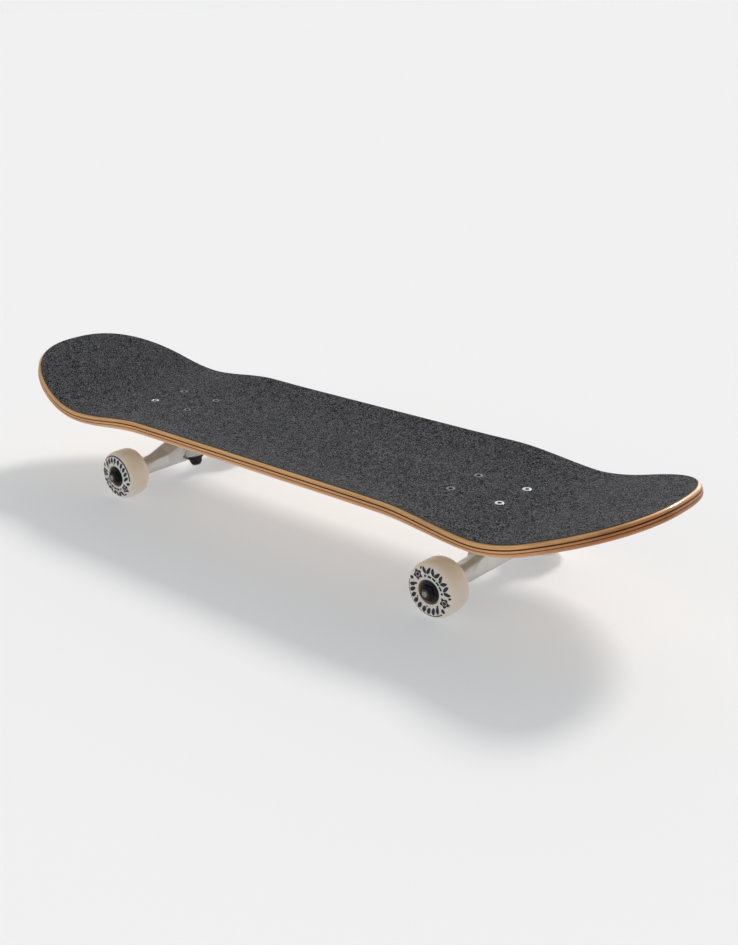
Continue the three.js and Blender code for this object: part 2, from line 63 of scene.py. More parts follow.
ROUND_FROM = 270  # from the middle of the wheelbase
WAIST, BELLY = 99.3, 101.7  # half widths
BELLY_SPAN = (110, 250)
CONCAVE_RISE = 9.4
CONCAVE_FADE = (165, 270)
FLAT_HALF_WIDTH = 28
KICK_BLEND = 28
KICKS = {
    "nose": {"start": 294.4, "slope": math.tan(math.radians(20.2)), "power": 2.27, "root": 2.45},
    "tail": {"start": 283.9, "slope": math.tan(math.radians(19.2)), "power": 2.36, "root": 2.35},
}
DECK_THICKNESS = 10.7
GRIP_THICKNESS = 0.7
GLUE_LINE = 0.1
EDGE_RADIUS = 3.2  # the deck's routed edge, above and below
GRIP_WRAP = math.radians(13)  # how far the griptape follows that edge
PLIES = (  # from the top: thickness and wood
    (1.65, "maple_gold"),
    (1.60, "maple_pale"),
    (1.35, "maple_dark"),
    (1.65, "maple_pale"),
    (0.90, "maple_brown"),
    (1.75, "maple_amber"),
    (1.80, "maple_rose"),
)

# ---- Trucks and wheels. A truck's frame: under the deck at the bolts' centre, +X inboard ----

TRUCK_HEIGHT = 52
AXLE_OFFSET = -8.7
AXLE_RADIUS = 4
AXLE_HALF_LENGTH = 101.4
HANGER_HALF_LENGTH = 68.3
HOUSING_RADIUS = 9.2  # the hanger's tube round the axle
STEER_RANGE = 15
KINGPIN_TILT = math.radians(12)
KINGPIN_RADIUS = 4.76
PIVOT = Vector((-30, 0, -14))
PIVOT_RADIUS = 5
BOLT_PITCH = (54, 41.3)
BOLT_RADIUS = 2.4
BOLT_HEAD_RADIUS = 4.3
BOLT_LENGTH = 25.2
BOLT_HOLE_RADIUS = BOLT_RADIUS + 0.3
SOCKET_FLATS = 3.5  # across the bolt's hexagon socket
GLINT_PAINTED_BOLTS = ("nose_outer_left", "tail_outer_left", "tail_outer_right")  # these three get a lighter copy of the bolts' steel as a painted glint; the others keep the dark colour
PLATE = {"length": 81, "width": 55, "thickness": 5.7, "corner": 8, "gap": 0.3}
WHEEL_RADIUS = 26
WHEEL_HALF_WIDTH = 14
BEARING_RADIUS = 11
BEARING_WIDTH = 7
BEARING_OFFSET = 8.5
SEAT_RADIUS = BEARING_RADIUS + 0.1
SEAT_EDGE = SEAT_RADIUS + 0.45  # the wheel's bore has painted shade up to here
NUT_FLATS = {"axle": 12.7, "kingpin": 12.7, "deck": 9.5}
KINGPIN_HEAD_FLATS = 14.3
THREAD_LENGTH = 12  # at each end of the axle
THREAD_STEP = 0.18  # between the points along a thread
WHEEL_ANGLES = {"nose_left": 250, "nose_right": 100, "tail_left": 57, "tail_right": 31}  # of the print

# Stations along the kingpin, from its nut end
ROAD_WASHER = 8.4
ROAD_BUSHING = 10.3
RING = (20, 28)
RING_RADIUS = 16
RING_BORE = 7
BOARD_WASHER = 43
BOSS = 45
HEAD = (52, 57.5)
ROAD_WASHER_RADIUS = 10.6
BOARD_WASHER_RADIUS = 12.4

# The hanger's body, from the middle out: distance from the centre plane, the housing's shift from the
# axle, the wing's height over the axle, and the inboard corners as (x, z) from the axle.
WING_LEAN = (-0.451, 0.892)
WING_HALF_THICKNESS = 3
HANGER_STATIONS = (
    (0, -0.8, 24, ((24, 12.3), (22.5, 19.1))),
    (15, -0.8, 19.8, ((17.1, 10.8), (15.7, 17.7))),
    (30, -0.8, 15.2, ((9.3, 2.5), (9.2, 8))),
    (44, -0.8, 11, ((8.7, 0.5), (8.9, 7.2))),
    (60, 0, 5, ((6.6, 6.4),)),
)


# ---- Meshes ----

@contextmanager
def editing(mesh):
    """A mesh opened in bmesh, and written back afterwards."""
    work = bmesh.new()
    work.from_mesh(mesh)
    yield work
    work.to_mesh(mesh)
    work.free()


def empty():
    return bpy.data.meshes.new("mesh")


def mesh_of(points, faces, materials=None):
    """A closed mesh with its faces pointing out. Points are in millimetres."""
    mesh = empty()
    mesh.from_pydata([[c * MM for c in p] for p in points], [], faces)
    if materials is not None:
        mesh.polygons.foreach_set("material_index", materials)
    return cleaned(mesh)


def cleaned(mesh):
    """The mesh with its doubled points merged."""
    with editing(mesh) as work:
        bmesh.ops.remove_doubles(work, verts=work.verts, dist=1e-7)
        bmesh.ops.recalc_face_normals(work, faces=work.faces)
    return mesh


def rounded(outline, radius, closed=False, steps=4):
    """The outline with its corners rounded off. The ends of an open outline stay sharp."""
    result = []
    count = len(outline)
    for i, corner in enumerate(outline):
        here = Vector(corner)
        if not closed and i in (0, count - 1):
            result.append(here)
            continue
        before = Vector(outline[i - 1]) - here
        after = Vector(outline[(i + 1) % count]) - here
        reach = min(radius, 0.48 * before.length, 0.48 * after.length)
        start = here + before.normalized() * reach
        end = here + after.normalized() * reach
        for k in range(steps + 1):
            t = k / steps
            result.append((1 - t) ** 2 * start + 2 * t * (1 - t) * here + t * t * end)
    return result


def curve_through(points):
    """A smooth line through the points (Catmull-Rom)."""
    steps = 6
    p = [Vector(q) for q in points]
    p = [2 * p[0] - p[1], *p, 2 * p[-1] - p[-2]]
    line = []
    for i in range(1, len(p) - 2):
        for k in range(steps):
            t = k / steps
            line.append(0.5 * (
                2 * p[i]
                + (p[i + 1] - p[i - 1]) * t
                + (2 * p[i - 1] - 5 * p[i] + 4 * p[i + 1] - p[i + 2]) * t * t
                + (3 * p[i] - p[i - 1] - 3 * p[i + 1] + p[i + 2]) * t ** 3
            ))
    line.append(p[-2])
    return line


def turned(profile, closed=False, steps=STEPS, thread=None, marks=None):
    """A body of revolution about +Z from (radius, along) points.

    An open profile starts and ends on the axis. thread is (from, to, pitch, depth) and cuts a real helix.
    marks gives each profile step's material."""
    points = []
    faces = []
    materials = []
    for radius, along in profile:
        for i in range(steps):
            turn = i / steps
            r = radius
            if thread and radius > 0 and thread[0] <= along <= thread[1]:
                pitch, depth = thread[2:]
                phase = (along / pitch - turn) % 1
                ends = min(1, (along - thread[0]) / pitch, (thread[1] - along) / pitch)
                r -= depth * ends * abs(2 * phase - 1)
            angle = 2 * math.pi * turn
            points.append((r * math.cos(angle), r * math.sin(angle), along))
    rows = len(profile)
    for k in range(rows if closed else rows - 1):
        a, b = k * steps, (k + 1) % rows * steps
        on_axis = [profile[k][0] == 0, profile[(k + 1) % rows][0] == 0]
        for i in range(steps):
            j = (i + 1) % steps
            if on_axis[0]:
                faces.append((a, b + i, b + j))
            elif on_axis[1]:
                faces.append((a + i, b, a + j))
            else:
                faces.append((a + i, b + i, b + j, a + j))
            materials.append(marks[k] if marks else 0)
    mesh = mesh_of(points, faces, materials)
    with editing(mesh) as work:
        bmesh.ops.delete(work, geom=[v for v in work.verts if not v.link_faces], context="VERTS")
    return mesh


def rod(radius, start, end, edge=0.4, **more):
    return turned(rounded([(0, start), (radius, start), (radius, end), (0, end)], edge), **more)


def sleeve(bore, radius, start, end, edge=0.3):
    outline = [(bore, start), (radius, start), (radius, end), (bore, end)]
    return hoop(outline, edge)


def hoop(outline, edge, **more):
    """A body of revolution whose section is a closed outline with rounded corners."""
    return turned(rounded(outline, edge, closed=True), closed=True, **more)


def extruded(outline, start, end, edge=0.0):
    """A flat outline in XY, pushed along Z, with its rims rounded by edge."""
    mesh = empty()
    with editing(mesh) as work:
        verts = [work.verts.new((x * MM, y * MM, start * MM)) for x, y in outline]
        face = work.faces.new(verts)
        lifted = bmesh.ops.extrude_face_region(work, geom=[face])["geom"]
        far = [g for g in lifted if isinstance(g, bmesh.types.BMVert)]
        bmesh.ops.translate(work, verts=far, vec=(0, 0, (end - start) * MM))
        if edge:
            rims = [e for e in work.edges if abs(e.verts[0].co.z - e.verts[1].co.z) < 1e-9]
            bmesh.ops.bevel(
                work, geom=rims, offset=edge * MM, segments=3, profile=0.5, affect="EDGES", clamp_overlap=True
            )
        bmesh.ops.recalc_face_normals(work, faces=work.faces)
    return mesh


def moved(mesh, matrix):
    mesh.transform(matrix)
    return mesh


def shifted(mesh, x=0.0, y=0.0, z=0.0):
    return moved(mesh, Matrix.Translation(Vector((x, y, z)) * MM))


def along(origin, direction):
    """The matrix that takes +Z at the origin to a direction at a point, in millimetres."""
    turn = Vector(direction).to_track_quat("Z", "Y").to_matrix().to_4x4()
    return Matrix.Translation(Vector(origin) * MM) @ turn


def in_scene(name, data):
    made = bpy.data.objects.new(name, data)
    bpy.context.scene.collection.objects.link(made)
    return made


def through_modifier(mesh, kind, **settings):
    """The mesh after one modifier."""
    work = in_scene("work", mesh)
    modifier = work.modifiers.new("work", kind)
    for key, value in settings.items():
        setattr(modifier, key, value)
    bpy.context.view_layer.update()
    result = bpy.data.meshes.new_from_object(work.evaluated_get(bpy.context.evaluated_depsgraph_get()))
    bpy.data.objects.remove(work)
    return result


def combined(mesh, operation, tools):
    """The mesh united with, cut by or kept inside each tool in turn."""
    for tool in tools:
        other = in_scene("tool", tool)
        mesh = through_modifier(mesh, "BOOLEAN", object=other, operation=operation, solver="EXACT")
        bpy.data.objects.remove(other)
    return mesh


def cast(mesh, voxel, smoothing):
    """Melts the joints of a boolean body together, as a casting's fillets are."""
    mesh = through_modifier(mesh, "REMESH", mode="VOXEL", voxel_size=voxel * MM)
    return through_modifier(mesh, "SMOOTH", factor=0.5, iterations=smoothing)


def joined(meshes):
    """Several meshes as one, keeping their material numbers."""
    result = empty()
    with editing(result) as work:
        for mesh in meshes:
            work.from_mesh(mesh)
    return result


def marked(mesh, number):
    mesh.polygons.foreach_set("material_index", [number] * len(mesh.polygons))
    return mesh


def give_materials(mesh, names):
    for name in names:
        mesh.materials.append(MATERIALS[name])


def place(name, mesh, matrix, body, slot, materials, *nodes, crease=32):
    """Puts a copy of a mesh into the scene as a piece that rides on a body and stands for CAD nodes.

    materials lists names in MATERIALS, in the order of the mesh's material numbers."""
    mesh = mesh.copy()
    mesh.name = name
    mesh.transform(matrix)
    mesh.shade_smooth()
    mesh.set_sharp_from_angle(angle=math.radians(crease))
    if not mesh.materials:
        give_materials(mesh, materials)
    piece = in_scene(name, mesh)
    if body:
        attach(piece, body)
    if nodes:
        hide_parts(*nodes)
    return piece


# ---- Materials ----

class Nodes:
    """A node tree and the nodes added to it."""

    def __init__(self, tree):
        self.tree = tree

    def give(self, target, value):
        if isinstance(value, bpy.types.NodeSocket):
            self.tree.links.new(value, target)
        elif isinstance(value, tuple) and len(value) == 3 and target.type == "RGBA":
            target.default_value = (*value, 1)
        else:
            target.default_value = value

    def node(self, kind, inputs=None, **settings):
        made = self.tree.nodes.new("ShaderNode" + kind)
        for key, value in settings.items():
            setattr(made, key, value)
        for key, value in (inputs or {}).items():
            self.give(made.inputs[key], value)
        return made

    def math(self, operation, a, b=0.5):
        return self.node("Math", {0: a, 1: b}, operation=operation).outputs[0]


class Shader(Nodes):
    """A principled material and the textures that feed it. Texture sizes are in millimetres."""

    def __init__(self, name, **sockets):
        self.material = bpy.data.materials.new(name)
        self.material.use_nodes = True
        super().__init__(self.material.node_tree)
        self.surface = self.tree.nodes["Principled BSDF"]
        coordinates = self.tree.nodes.new("ShaderNodeTexCoord")
        self.position = coordinates.outputs["Object"]
        self.facing = coordinates.outputs["Normal"]
        for key, value in sockets.items():
            self.feed(key.replace("_", " "), value)

    def feed(self, socket, value):
        target = next(s for s in self.surface.inputs if s.name.lower() == socket.lower())
        self.give(target, value)

    def noise(self, size, detail=3, rough=0.5, stretch=None, distort=0.0):
        place = self.position
        if stretch:
            scale = tuple(1 / s for s in stretch)
            place = self.node("Mapping", {"Vector": place, "Scale": scale}).outputs["Vector"]
        inputs = {"Vector": place, "Scale": 1 / (size * MM), "Detail": detail, "Roughness": rough}
        return self.node("TexNoise", {**inputs, "Distortion": distort}).outputs["Fac"]

    def ramp(self, factor, *stops):
        made = self.node("ValToRGB", {"Fac": factor})
        elements = made.color_ramp.elements
        while len(elements) < len(stops):
            elements.new(0.5)
        for element, (at, value) in zip(elements, stops):
            element.position = at
            element.color = (*value, 1) if isinstance(value, tuple) else (value, value, value, 1)
        return made.outputs["Color"]

    def mix(self, factor, a, b, how="MIX"):
        made = self.node("Mix", data_type="RGBA", blend_type=how)
        for index, value in ((0, factor), (6, a), (7, b)):
            self.give(made.inputs[index], value)
        return made.outputs[2]

    def stained(self, colour, tint, mask, start, end, amount):
        """The colour with a tint over it that grows to an amount as the mask goes from start to end."""
        return self.mix(self.ramp(mask, (start, 0.0), (end, amount)), colour, tint)

    def bumped(self, height, depth, strength):
        bump = self.node("Bump", {"Height": height, "Distance": depth * MM, "Strength": strength})
        self.feed("Normal", bump.outputs["Normal"])


def veneer(name, pale, deep, lacquer):
    """A ply of maple with its grain along X: long streaks on the rails, and painted shade on the faces turned
    towards the tail (+X).
    """
    shader = Shader(name, Coat_Weight=lacquer, Coat_Roughness=0.12, Roughness=0.5, Specular_IOR_Level=0.25)
    streaks = shader.noise(1.1, detail=5, rough=0.6, stretch=(70, 1, 1))
    patches = shader.noise(14, detail=3, stretch=(6, 1, 1))
    pores = shader.noise(0.35, detail=2, stretch=(9, 1, 1))
    colour = shader.stained(pale, deep, streaks, 0.32, 0.7, 1.0)
    darker = tuple(c * 0.62 for c in deep)
    colour = shader.stained(colour, darker, patches, 0.45, 0.8, 0.55)
    colour = shader.stained(colour, darker, pores, 0.6, 0.75, 0.4)
    # painted shade: faces turned towards +X, the tail's end, are darkened by their normal's direction
    tailwards = shader.node("SeparateXYZ", {"Vector": shader.facing}).outputs["X"]
    tail_facing_shade = shader.ramp(tailwards, (0.10, 0.0), (0.55, 0.9))
    colour = shader.mix(tail_facing_shade, colour, (0.62, 0.47, 0.36), how="MULTIPLY")
    shader.feed("Base Color", colour)
    shader.bumped(streaks, 0.08, 0.35)
    return shader.material


def face_veneer():
    """The deck's lacquered underside: plain rotary-cut maple, its figure running along X."""
    shader = Shader("maple_face", Coat_Weight=0.55, Coat_Roughness=0.12, Roughness=0.38)
    figure = shader.noise(34, detail=4, rough=0.45, stretch=(9, 1, 1), distort=1.4)
    bands = shader.math("FRACT", shader.math("MULTIPLY", figure, 9.0))
    fibres = shader.noise(0.7, detail=5, rough=0.65, stretch=(60, 1, 1))
    flecks = shader.noise(0.9, detail=1, stretch=(12, 1, 1))
    rings = shader.ramp(bands, (0.0, 0.0), (0.75, 0.55), (0.97, 1.0), (1.0, 0.1))
    colour = shader.mix(rings, (0.68, 0.50, 0.31), (0.56, 0.39, 0.225))
    colour = shader.stained(colour, (0.49, 0.33, 0.185), fibres, 0.35, 0.72, 0.7)
    colour = shader.stained(colour, (0.34, 0.18, 0.08), flecks, 0.66, 0.76, 0.5)
    shader.feed("Base Color", colour)
    shader.bumped(fibres, 0.06, 0.3)
    return shader.material


def griptape():
    """Silicon-carbide grit on black paper: curled ridges of grains, a few grains with a painted glint and
    faint scuffs.
    """
    shader = Shader("griptape", Roughness=0.9, Specular_IOR_Level=0.08, Diffuse_Roughness=1.0)
    grit = shader.node("TexVoronoi", {"Vector": shader.position, "Scale": 1 / (0.6 * MM)})
    grain = shader.node("SeparateColor", {"Color": grit.outputs["Color"]}).outputs["Red"]
    curls = shader.noise(4.0, detail=3, rough=0.6, distort=1.6)
    ridges = shader.math("ABSOLUTE", shader.math("SUBTRACT", curls, 0.5))
    scuffs = shader.noise(46, detail=5, rough=0.6)
    colour = shader.ramp(
        ridges, (0.0, (0.30, 0.30, 0.31)), (0.028, (0.050, 0.049, 0.053)), (0.085, (0.003, 0.003, 0.004)),
    )
    # painted glint: a few grains are lightened in colour as if catching the light
    colour = shader.stained(colour, (0.34, 0.34, 0.36), grain, 0.84, 0.98, 0.9)
    colour = shader.mix(shader.ramp(grain, (0.05, 0.7), (0.26, 0.0)), colour, (0.004, 0.004, 0.005))
    colour = shader.stained(colour, (0.11, 0.108, 0.11), scuffs, 0.5, 0.85, 0.10)
    shader.feed("Base Color", colour)
    height = shader.math("SUBTRACT", shader.math("MULTIPLY", grit.outputs["Distance"], -0.5), ridges)
    shader.bumped(height, 0.4, 0.8)
    return shader.material


def mottled(name, texture, low, high, bump=None, **sockets):
    """A plain material that goes from one colour to another with a noise; low and high are ramp stops."""
    shader = Shader(name, **sockets)
    noise = shader.noise(*texture)
    shader.feed("Base Color", shader.ramp(noise, low, high))
    if bump:
        shader.bumped(noise, *bump)
    return shader.material


def cast_aluminium():
    """Tumbled cast aluminium: satin, faintly pebbled, a little lighter on its convex edges."""
    shader = Shader("cast_aluminium", Metallic=0.82)
    pebble = shader.noise(0.75, detail=4, rough=0.6)
    cloud = shader.noise(17, detail=4)
    pits = shader.noise(0.4, detail=1)
    colour = shader.mix(cloud, (0.63, 0.62, 0.60), (0.72, 0.71, 0.69))
    colour = shader.stained(colour, (0.36, 0.35, 0.34), pits, 0.70, 0.80, 0.5)
    # lighter colour on convex edges, found by pointiness
    edge = shader.node("NewGeometry").outputs["Pointiness"]
    colour = shader.stained(colour, (0.86, 0.85, 0.83), edge, 0.50, 0.60, 0.45)
    shader.feed("Base Color", colour)
    shader.feed("Roughness", shader.ramp(pebble, (0.3, 0.40), (0.7, 0.54)))
    shader.bumped(pebble, 0.09, 0.4)
    return shader.material


def metal(name, colour, worn, roughness, grain, metallic):
    """A machined or plated metal: fine directional grain, patchy roughness and rubbed spots."""
    shader = Shader(name, Metallic=metallic)
    fine = shader.noise(grain, detail=3, rough=0.6)
    patches = shader.noise(4.5, detail=4, rough=0.6)
    rubbed = shader.ramp(patches, (0.56, 0.0), (0.72, 0.35))
    shader.feed("Base Color", shader.mix(rubbed, colour, worn))
    shader.feed("Roughness", shader.ramp(patches, (0.3, roughness * 0.8), (0.7, min(1.0, roughness * 1.3))))
    shader.bumped(fine, 0.03, 0.3)
    return shader.material


def rubber(name, colour, dust, roughness, soft):
    """Rubber or plastic with a little dust on it; soft is how much light it lets in."""
    shader = Shader(name, Subsurface_Weight=soft, Subsurface_Scale=2 * MM, Roughness=roughness)
    mottle = shader.noise(2.2, detail=5, rough=0.65)
    fine = shader.noise(0.3, detail=2)
    shader.feed("Base Color", shader.stained(colour, dust, mottle, 0.45, 0.8, 0.6))
    shader.bumped(fine, 0.03, 0.35)
    return shader.material


def urethane():
    """Cast urethane: milky and slightly translucent, with light rolling marks and dust."""
    shader = Shader(
        "urethane",
        Subsurface_Weight=0.75,
        Subsurface_Scale=16 * MM,
        Subsurface_Radius=(1.0, 0.42, 0.15),
        Coat_Weight=0.12,
        Coat_Roughness=0.3,
    )
    milk = shader.noise(9, detail=3)
    dust = shader.noise(1.7, detail=5, rough=0.7)
    colour = shader.mix(milk, (0.86, 0.79, 0.69), (0.81, 0.735, 0.625))
    colour = shader.stained(colour, (0.46, 0.40, 0.32), dust, 0.60, 0.82, 0.22)
    shader.feed("Base Color", colour)
    shader.feed("Roughness", shader.ramp(dust, (0.35, 0.34), (0.75, 0.52)))
    shader.bumped(dust, 0.03, 0.3)
    return shader.material


def studio_floor():
    """A pale, faintly glowing sweep, so that shadows on it stay light."""
    shader = Shader("studio_floor", Roughness=1.0, Specular_IOR_Level=0.0)
    tone = shader.noise(700, detail=2)
    shader.feed("Base Color", shader.mix(tone, (0.522, 0.498, 0.477), (0.527, 0.503, 0.482)))
    shader.feed("Emission Color", (0.303, 0.328, 0.352))
    shader.feed("Emission Strength", 1.0)
    return shader.material


VENEERS = {  # pale and deep wood, and how lacquered
    "maple_gold": ((0.86, 0.53, 0.24), (0.72, 0.41, 0.165), 0.7),
    "maple_pale": ((0.82, 0.45, 0.185), (0.68, 0.345, 0.13), 0.1),
    "maple_dark": ((0.095, 0.024, 0.007), (0.058, 0.014, 0.004), 0.0),
    "maple_brown": ((0.26, 0.105, 0.040), (0.17, 0.062, 0.022), 0.1),
    "maple_amber": ((0.76, 0.40, 0.20), (0.60, 0.30, 0.14), 0.1),
    "maple_rose": ((0.88, 0.55, 0.33), (0.74, 0.44, 0.25), 0.1),
}
METALS = {  # colour, rubbed colour, roughness, size of the grain, metallic
    # bolt_steel, used on the glint-painted bolts, is a lighter copy of dull_bolt's dark steel: a painted
    # glint
    "bolt_steel": ((0.42, 0.42, 0.43), (0.3, 0.29, 0.28), 0.3, 0.4, 1),
    "dull_bolt": ((0.11, 0.11, 0.115), (0.30, 0.29, 0.28), 0.42, 0.4, 1),
    "steel": ((0.34, 0.33, 0.32), (0.22, 0.21, 0.20), 0.42, 0.5, 1),
    "thread_steel": ((0.10, 0.098, 0.095), (0.05, 0.048, 0.045), 0.5, 0.5, 1),
    "black_steel": ((0.009, 0.009, 0.010), (0.06, 0.057, 0.054), 0.55, 0.5, 0.4),
    "socket_shade": ((0.012, 0.012, 0.012), (0.05, 0.05, 0.05), 0.6, 0.5, 1),
    # the bearings' steel is tinted brown as a painted reflection of the wheel's bore
    "bearing_steel": ((0.30, 0.20, 0.125), (0.13, 0.09, 0.06), 0.3, 0.3, 1),
}
RUBBERS = {  # colour, dust, roughness, softness
    "bearing_shield": ((0.009, 0.009, 0.010), (0.035, 0.032, 0.030), 0.55, 0),
    "bushing": ((0.60, 0.585, 0.55), (0.44, 0.42, 0.38), 0.42, 0.25),
    "pivot_rubber": ((0.018, 0.018, 0.019), (0.07, 0.066, 0.06), 0.6, 0),
    "nylon": ((0.035, 0.035, 0.038), (0.09, 0.085, 0.08), 0.45, 0.1),
}
MATERIALS = {
    **{name: veneer(name, *look) for name, look in VENEERS.items()},
    **{name: metal(name, *look) for name, look in METALS.items()},
    **{name: rubber(name, *look) for name, look in RUBBERS.items()},
    "maple_face": face_veneer(),
    "griptape": griptape(),
    "griptape_filed_edge": mottled(  # where a file has scraped the griptape's rim down to grey
        "griptape_filed_edge", (0.8, 4, 0.7), (0.35, (0.018, 0.017, 0.017)), (0.7, (0.10, 0.090, 0.080)),
        bump=(0.12, 0.6), Roughness=0.8,
    ),
    "cast_aluminium": cast_aluminium(),
    "urethane": urethane(),
    "urethane_bore": mottled(  # the wheel's core: the same urethane, darkened and browned as painted shade
        "urethane_bore", (1.4, 4, 0.6), (0.35, (0.62, 0.42, 0.26)), (0.7, (0.40, 0.26, 0.16)),
        Subsurface_Weight=0.3, Subsurface_Scale=4 * MM, Subsurface_Radius=(1.0, 0.5, 0.2), Roughness=0.4,
    ),
    "print_ink": mottled(  # pad-printed and thin in places
        "print_ink", (0.5, 4, 0.7), (0.60, (0.010, 0.009, 0.009)), (0.78, (0.10, 0.085, 0.070)),
        Roughness=0.5,
    ),
}


# ---- Deck and griptape ----

def centre_of(node):
    low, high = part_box(node)
    return (low + high) / 2


DECK_BOX = [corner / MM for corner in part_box("deck")]
BASEPLATE_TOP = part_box("nose_baseplate")[1].z / MM
DECK_TOP = BASEPLATE_TOP + PLATE["gap"] + DECK_THICKNESS


def truck_centre(end):
    """The middle of a truck's four bolts, on the deck's underside, in millimetres."""
    bolts = [centre_of(f"{end}_bolt_{row}_{hand}") for row in ("inner", "outer") for hand in HANDS]
    middle = sum(bolts, Vector()) / len(bolts) / MM
    return Vector((middle.x, middle.y, BASEPLATE_TOP + PLATE["gap"]))


CENTRES = {end: truck_centre(end) for end in ENDS}
MIDDLE_X = (CENTRES["nose"].x + CENTRES["tail"].x) / 2


def smooth(value, low, high):
    t = np.clip((value - low) / (high - low), 0, 1)
    return t * t * (3 - 2 * t)


def flat_reach(end):
    """How far the top face reaches from the middle, so that the rounded edge ends at the deck's box."""
    lean = math.sin(math.atan(KICKS[end]["slope"]))
    tip = DECK_BOX[0].x if end == "nose" else DECK_BOX[1].x
    rounding = EDGE_RADIUS * (math.sqrt(1 + lean ** 2) - 1)
    return abs(tip - MIDDLE_X) - (DECK_THICKNESS - EDGE_RADIUS) * lean - rounding


REACH = {end: flat_reach(end) for end in ENDS}


def half_width(end, distance, inset):
    straight = WAIST + (BELLY - WAIST) * smooth(distance, *BELLY_SPAN) - inset
    beyond = max(0.0, distance - ROUND_FROM) / (REACH[end] - inset - ROUND_FROM)
    shape = KICKS[end]
    return straight * max(0.0, 1 - beyond ** shape["power"]) ** (1 / shape["root"])


def rise(end, distance, y):
    kick = KICKS[end]
    into = np.clip(distance - kick["start"] + KICK_BLEND, 0, 2 * KICK_BLEND)
    past = np.maximum(0, distance - kick["start"] - KICK_BLEND)
    off = np.maximum(0, np.abs(y) - FLAT_HALF_WIDTH) / (WAIST - FLAT_HALF_WIDTH)
    fade = 1 - smooth(distance, *CONCAVE_FADE)
    return kick["slope"] * (into ** 2 / (4 * KICK_BLEND) + past) + CONCAVE_RISE * fade * off ** 2


def board_points(end, distance, y, height):
    """Points at a height above the deck's top face, measured square to it; y is an array."""
    side = -1 if end == "nose" else 1
    step = 0.5
    slope_x = side * (rise(end, distance + step, y) - rise(end, distance - step, y)) / (2 * step)
    slope_y = (rise(end, distance, y + step) - rise(end, distance, y - step)) / (2 * step)
    length = np.sqrt(slope_x ** 2 + slope_y ** 2 + 1)
    x = MIDDLE_X + side * distance - slope_x * height / length
    z = DECK_TOP + rise(end, distance, y) + height / length
    return np.stack([x, y - slope_y * height / length, z], axis=-1)


CENTRE_ROWS = 34
END_ROWS = 44
COLUMNS = 45


def board_rows(inset):
    """(end, distance) of each row of points, nose tip to tail tip, closer together round the ends."""
    def half(end):
        rows = [ROUND_FROM * i / CENTRE_ROWS for i in range(1, CENTRE_ROWS + 1)]
        for i in range(1, END_ROWS + 1):
            part = math.sin(i * math.pi / 2 / END_ROWS) ** (2 / KICKS[end]["power"])
            rows.append(ROUND_FROM + (REACH[end] - inset - ROUND_FROM) * part)
        return [(end, distance) for distance in rows]
    return [*reversed(half("nose")), ("tail", 0.0), *half("tail")]


def board_sheet(section, marks, face_mark):
    """A closed sheet over the deck's outline.

    section lists (inset, height) round the edge from the top face to the bottom face, and marks the
    material of each step."""
    across = np.linspace(-1, 1, COLUMNS)
    grids = []
    for inset, height in section:
        rows = []
        for end, distance in board_rows(inset):
            y = across * half_width(end, distance, inset)
            rows.append(board_points(end, distance, y, height))
        grids.append(np.array(rows))
    points = []
    faces = []
    materials = []

    def add(corners, mark):
        base = len(points)
        points.extend(corners)
        faces.append(tuple(range(base, base + 4)))
        materials.append(mark)

    top, bottom = grids[0], grids[-1]
    for i in range(len(top) - 1):
        for j in range(COLUMNS - 1):
            add([top[i, j], top[i + 1, j], top[i + 1, j + 1], top[i, j + 1]], face_mark)
            add([bottom[i, j], bottom[i, j + 1], bottom[i + 1, j + 1], bottom[i + 1, j]], face_mark)
        for upper, lower, mark in zip(grids, grids[1:], marks):
            add([upper[i, 0], lower[i, 0], lower[i + 1, 0], upper[i + 1, 0]], mark)
            add([upper[i, -1], upper[i + 1, -1], lower[i + 1, -1], lower[i, -1]], mark)
    return welded(points, faces, materials)


def welded(points, faces, materials):
    """A mesh whose touching corners are merged and whose collapsed faces are gone."""
    mesh = empty()
    mesh.from_pydata((np.array(points) * MM).tolist(), [], faces)
    mesh.polygons.foreach_set("material_index", materials)
    with editing(mesh) as work:
        bmesh.ops.remove_doubles(work, verts=work.verts, dist=2e-6)
        bmesh.ops.dissolve_degenerate(work, edges=work.edges, dist=1e-6)
        bmesh.ops.recalc_face_normals(work, faces=work.faces)
    return mesh


def edge_section():
    """The deck's edge from its top face to its bottom face, with a step at every glue line."""
    heights = [0.0]
    for thickness, _ in PLIES:
        heights.append(heights[-1] - thickness)
    heights = [h * DECK_THICKNESS / -heights[-1] for h in heights]
    wanted = set(np.round(np.arange(0, EDGE_RADIUS, 0.4), 3))
    wanted |= {round(EDGE_RADIUS * (1 - math.cos(math.radians(a))), 3) for a in (10, 20, 30, 40)}
    levels = {-w for w in wanted} | {w - DECK_THICKNESS for w in wanted} | {-DECK_THICKNESS / 2}
    levels |= set(heights)
    section = []
    for level in sorted(levels, reverse=True):
        depth = min(-level, level + DECK_THICKNESS)
        short = max(0.0, EDGE_RADIUS - depth)
        section.append((EDGE_RADIUS - math.sqrt(max(0.0, EDGE_RADIUS ** 2 - short ** 2)), level))
    marks = []
    for (_, upper), (_, lower) in zip(section, section[1:]):
        middle = (upper + lower) / 2
        marks.append(sum(middle < h for h in heights[1:]))
    return section, marks


def ragged_hole(radius, tear, seed):
    """A tool that cuts a hole with a torn rim through the griptape."""
    draw = random.Random(seed)
    count = 40
    outline = []
    for i in range(count):
        angle = 2 * math.pi * i / count
        r = radius + tear * draw.random()
        outline.append((r * math.cos(angle), r * math.sin(angle)))
    return extruded(outline, -60, 20)


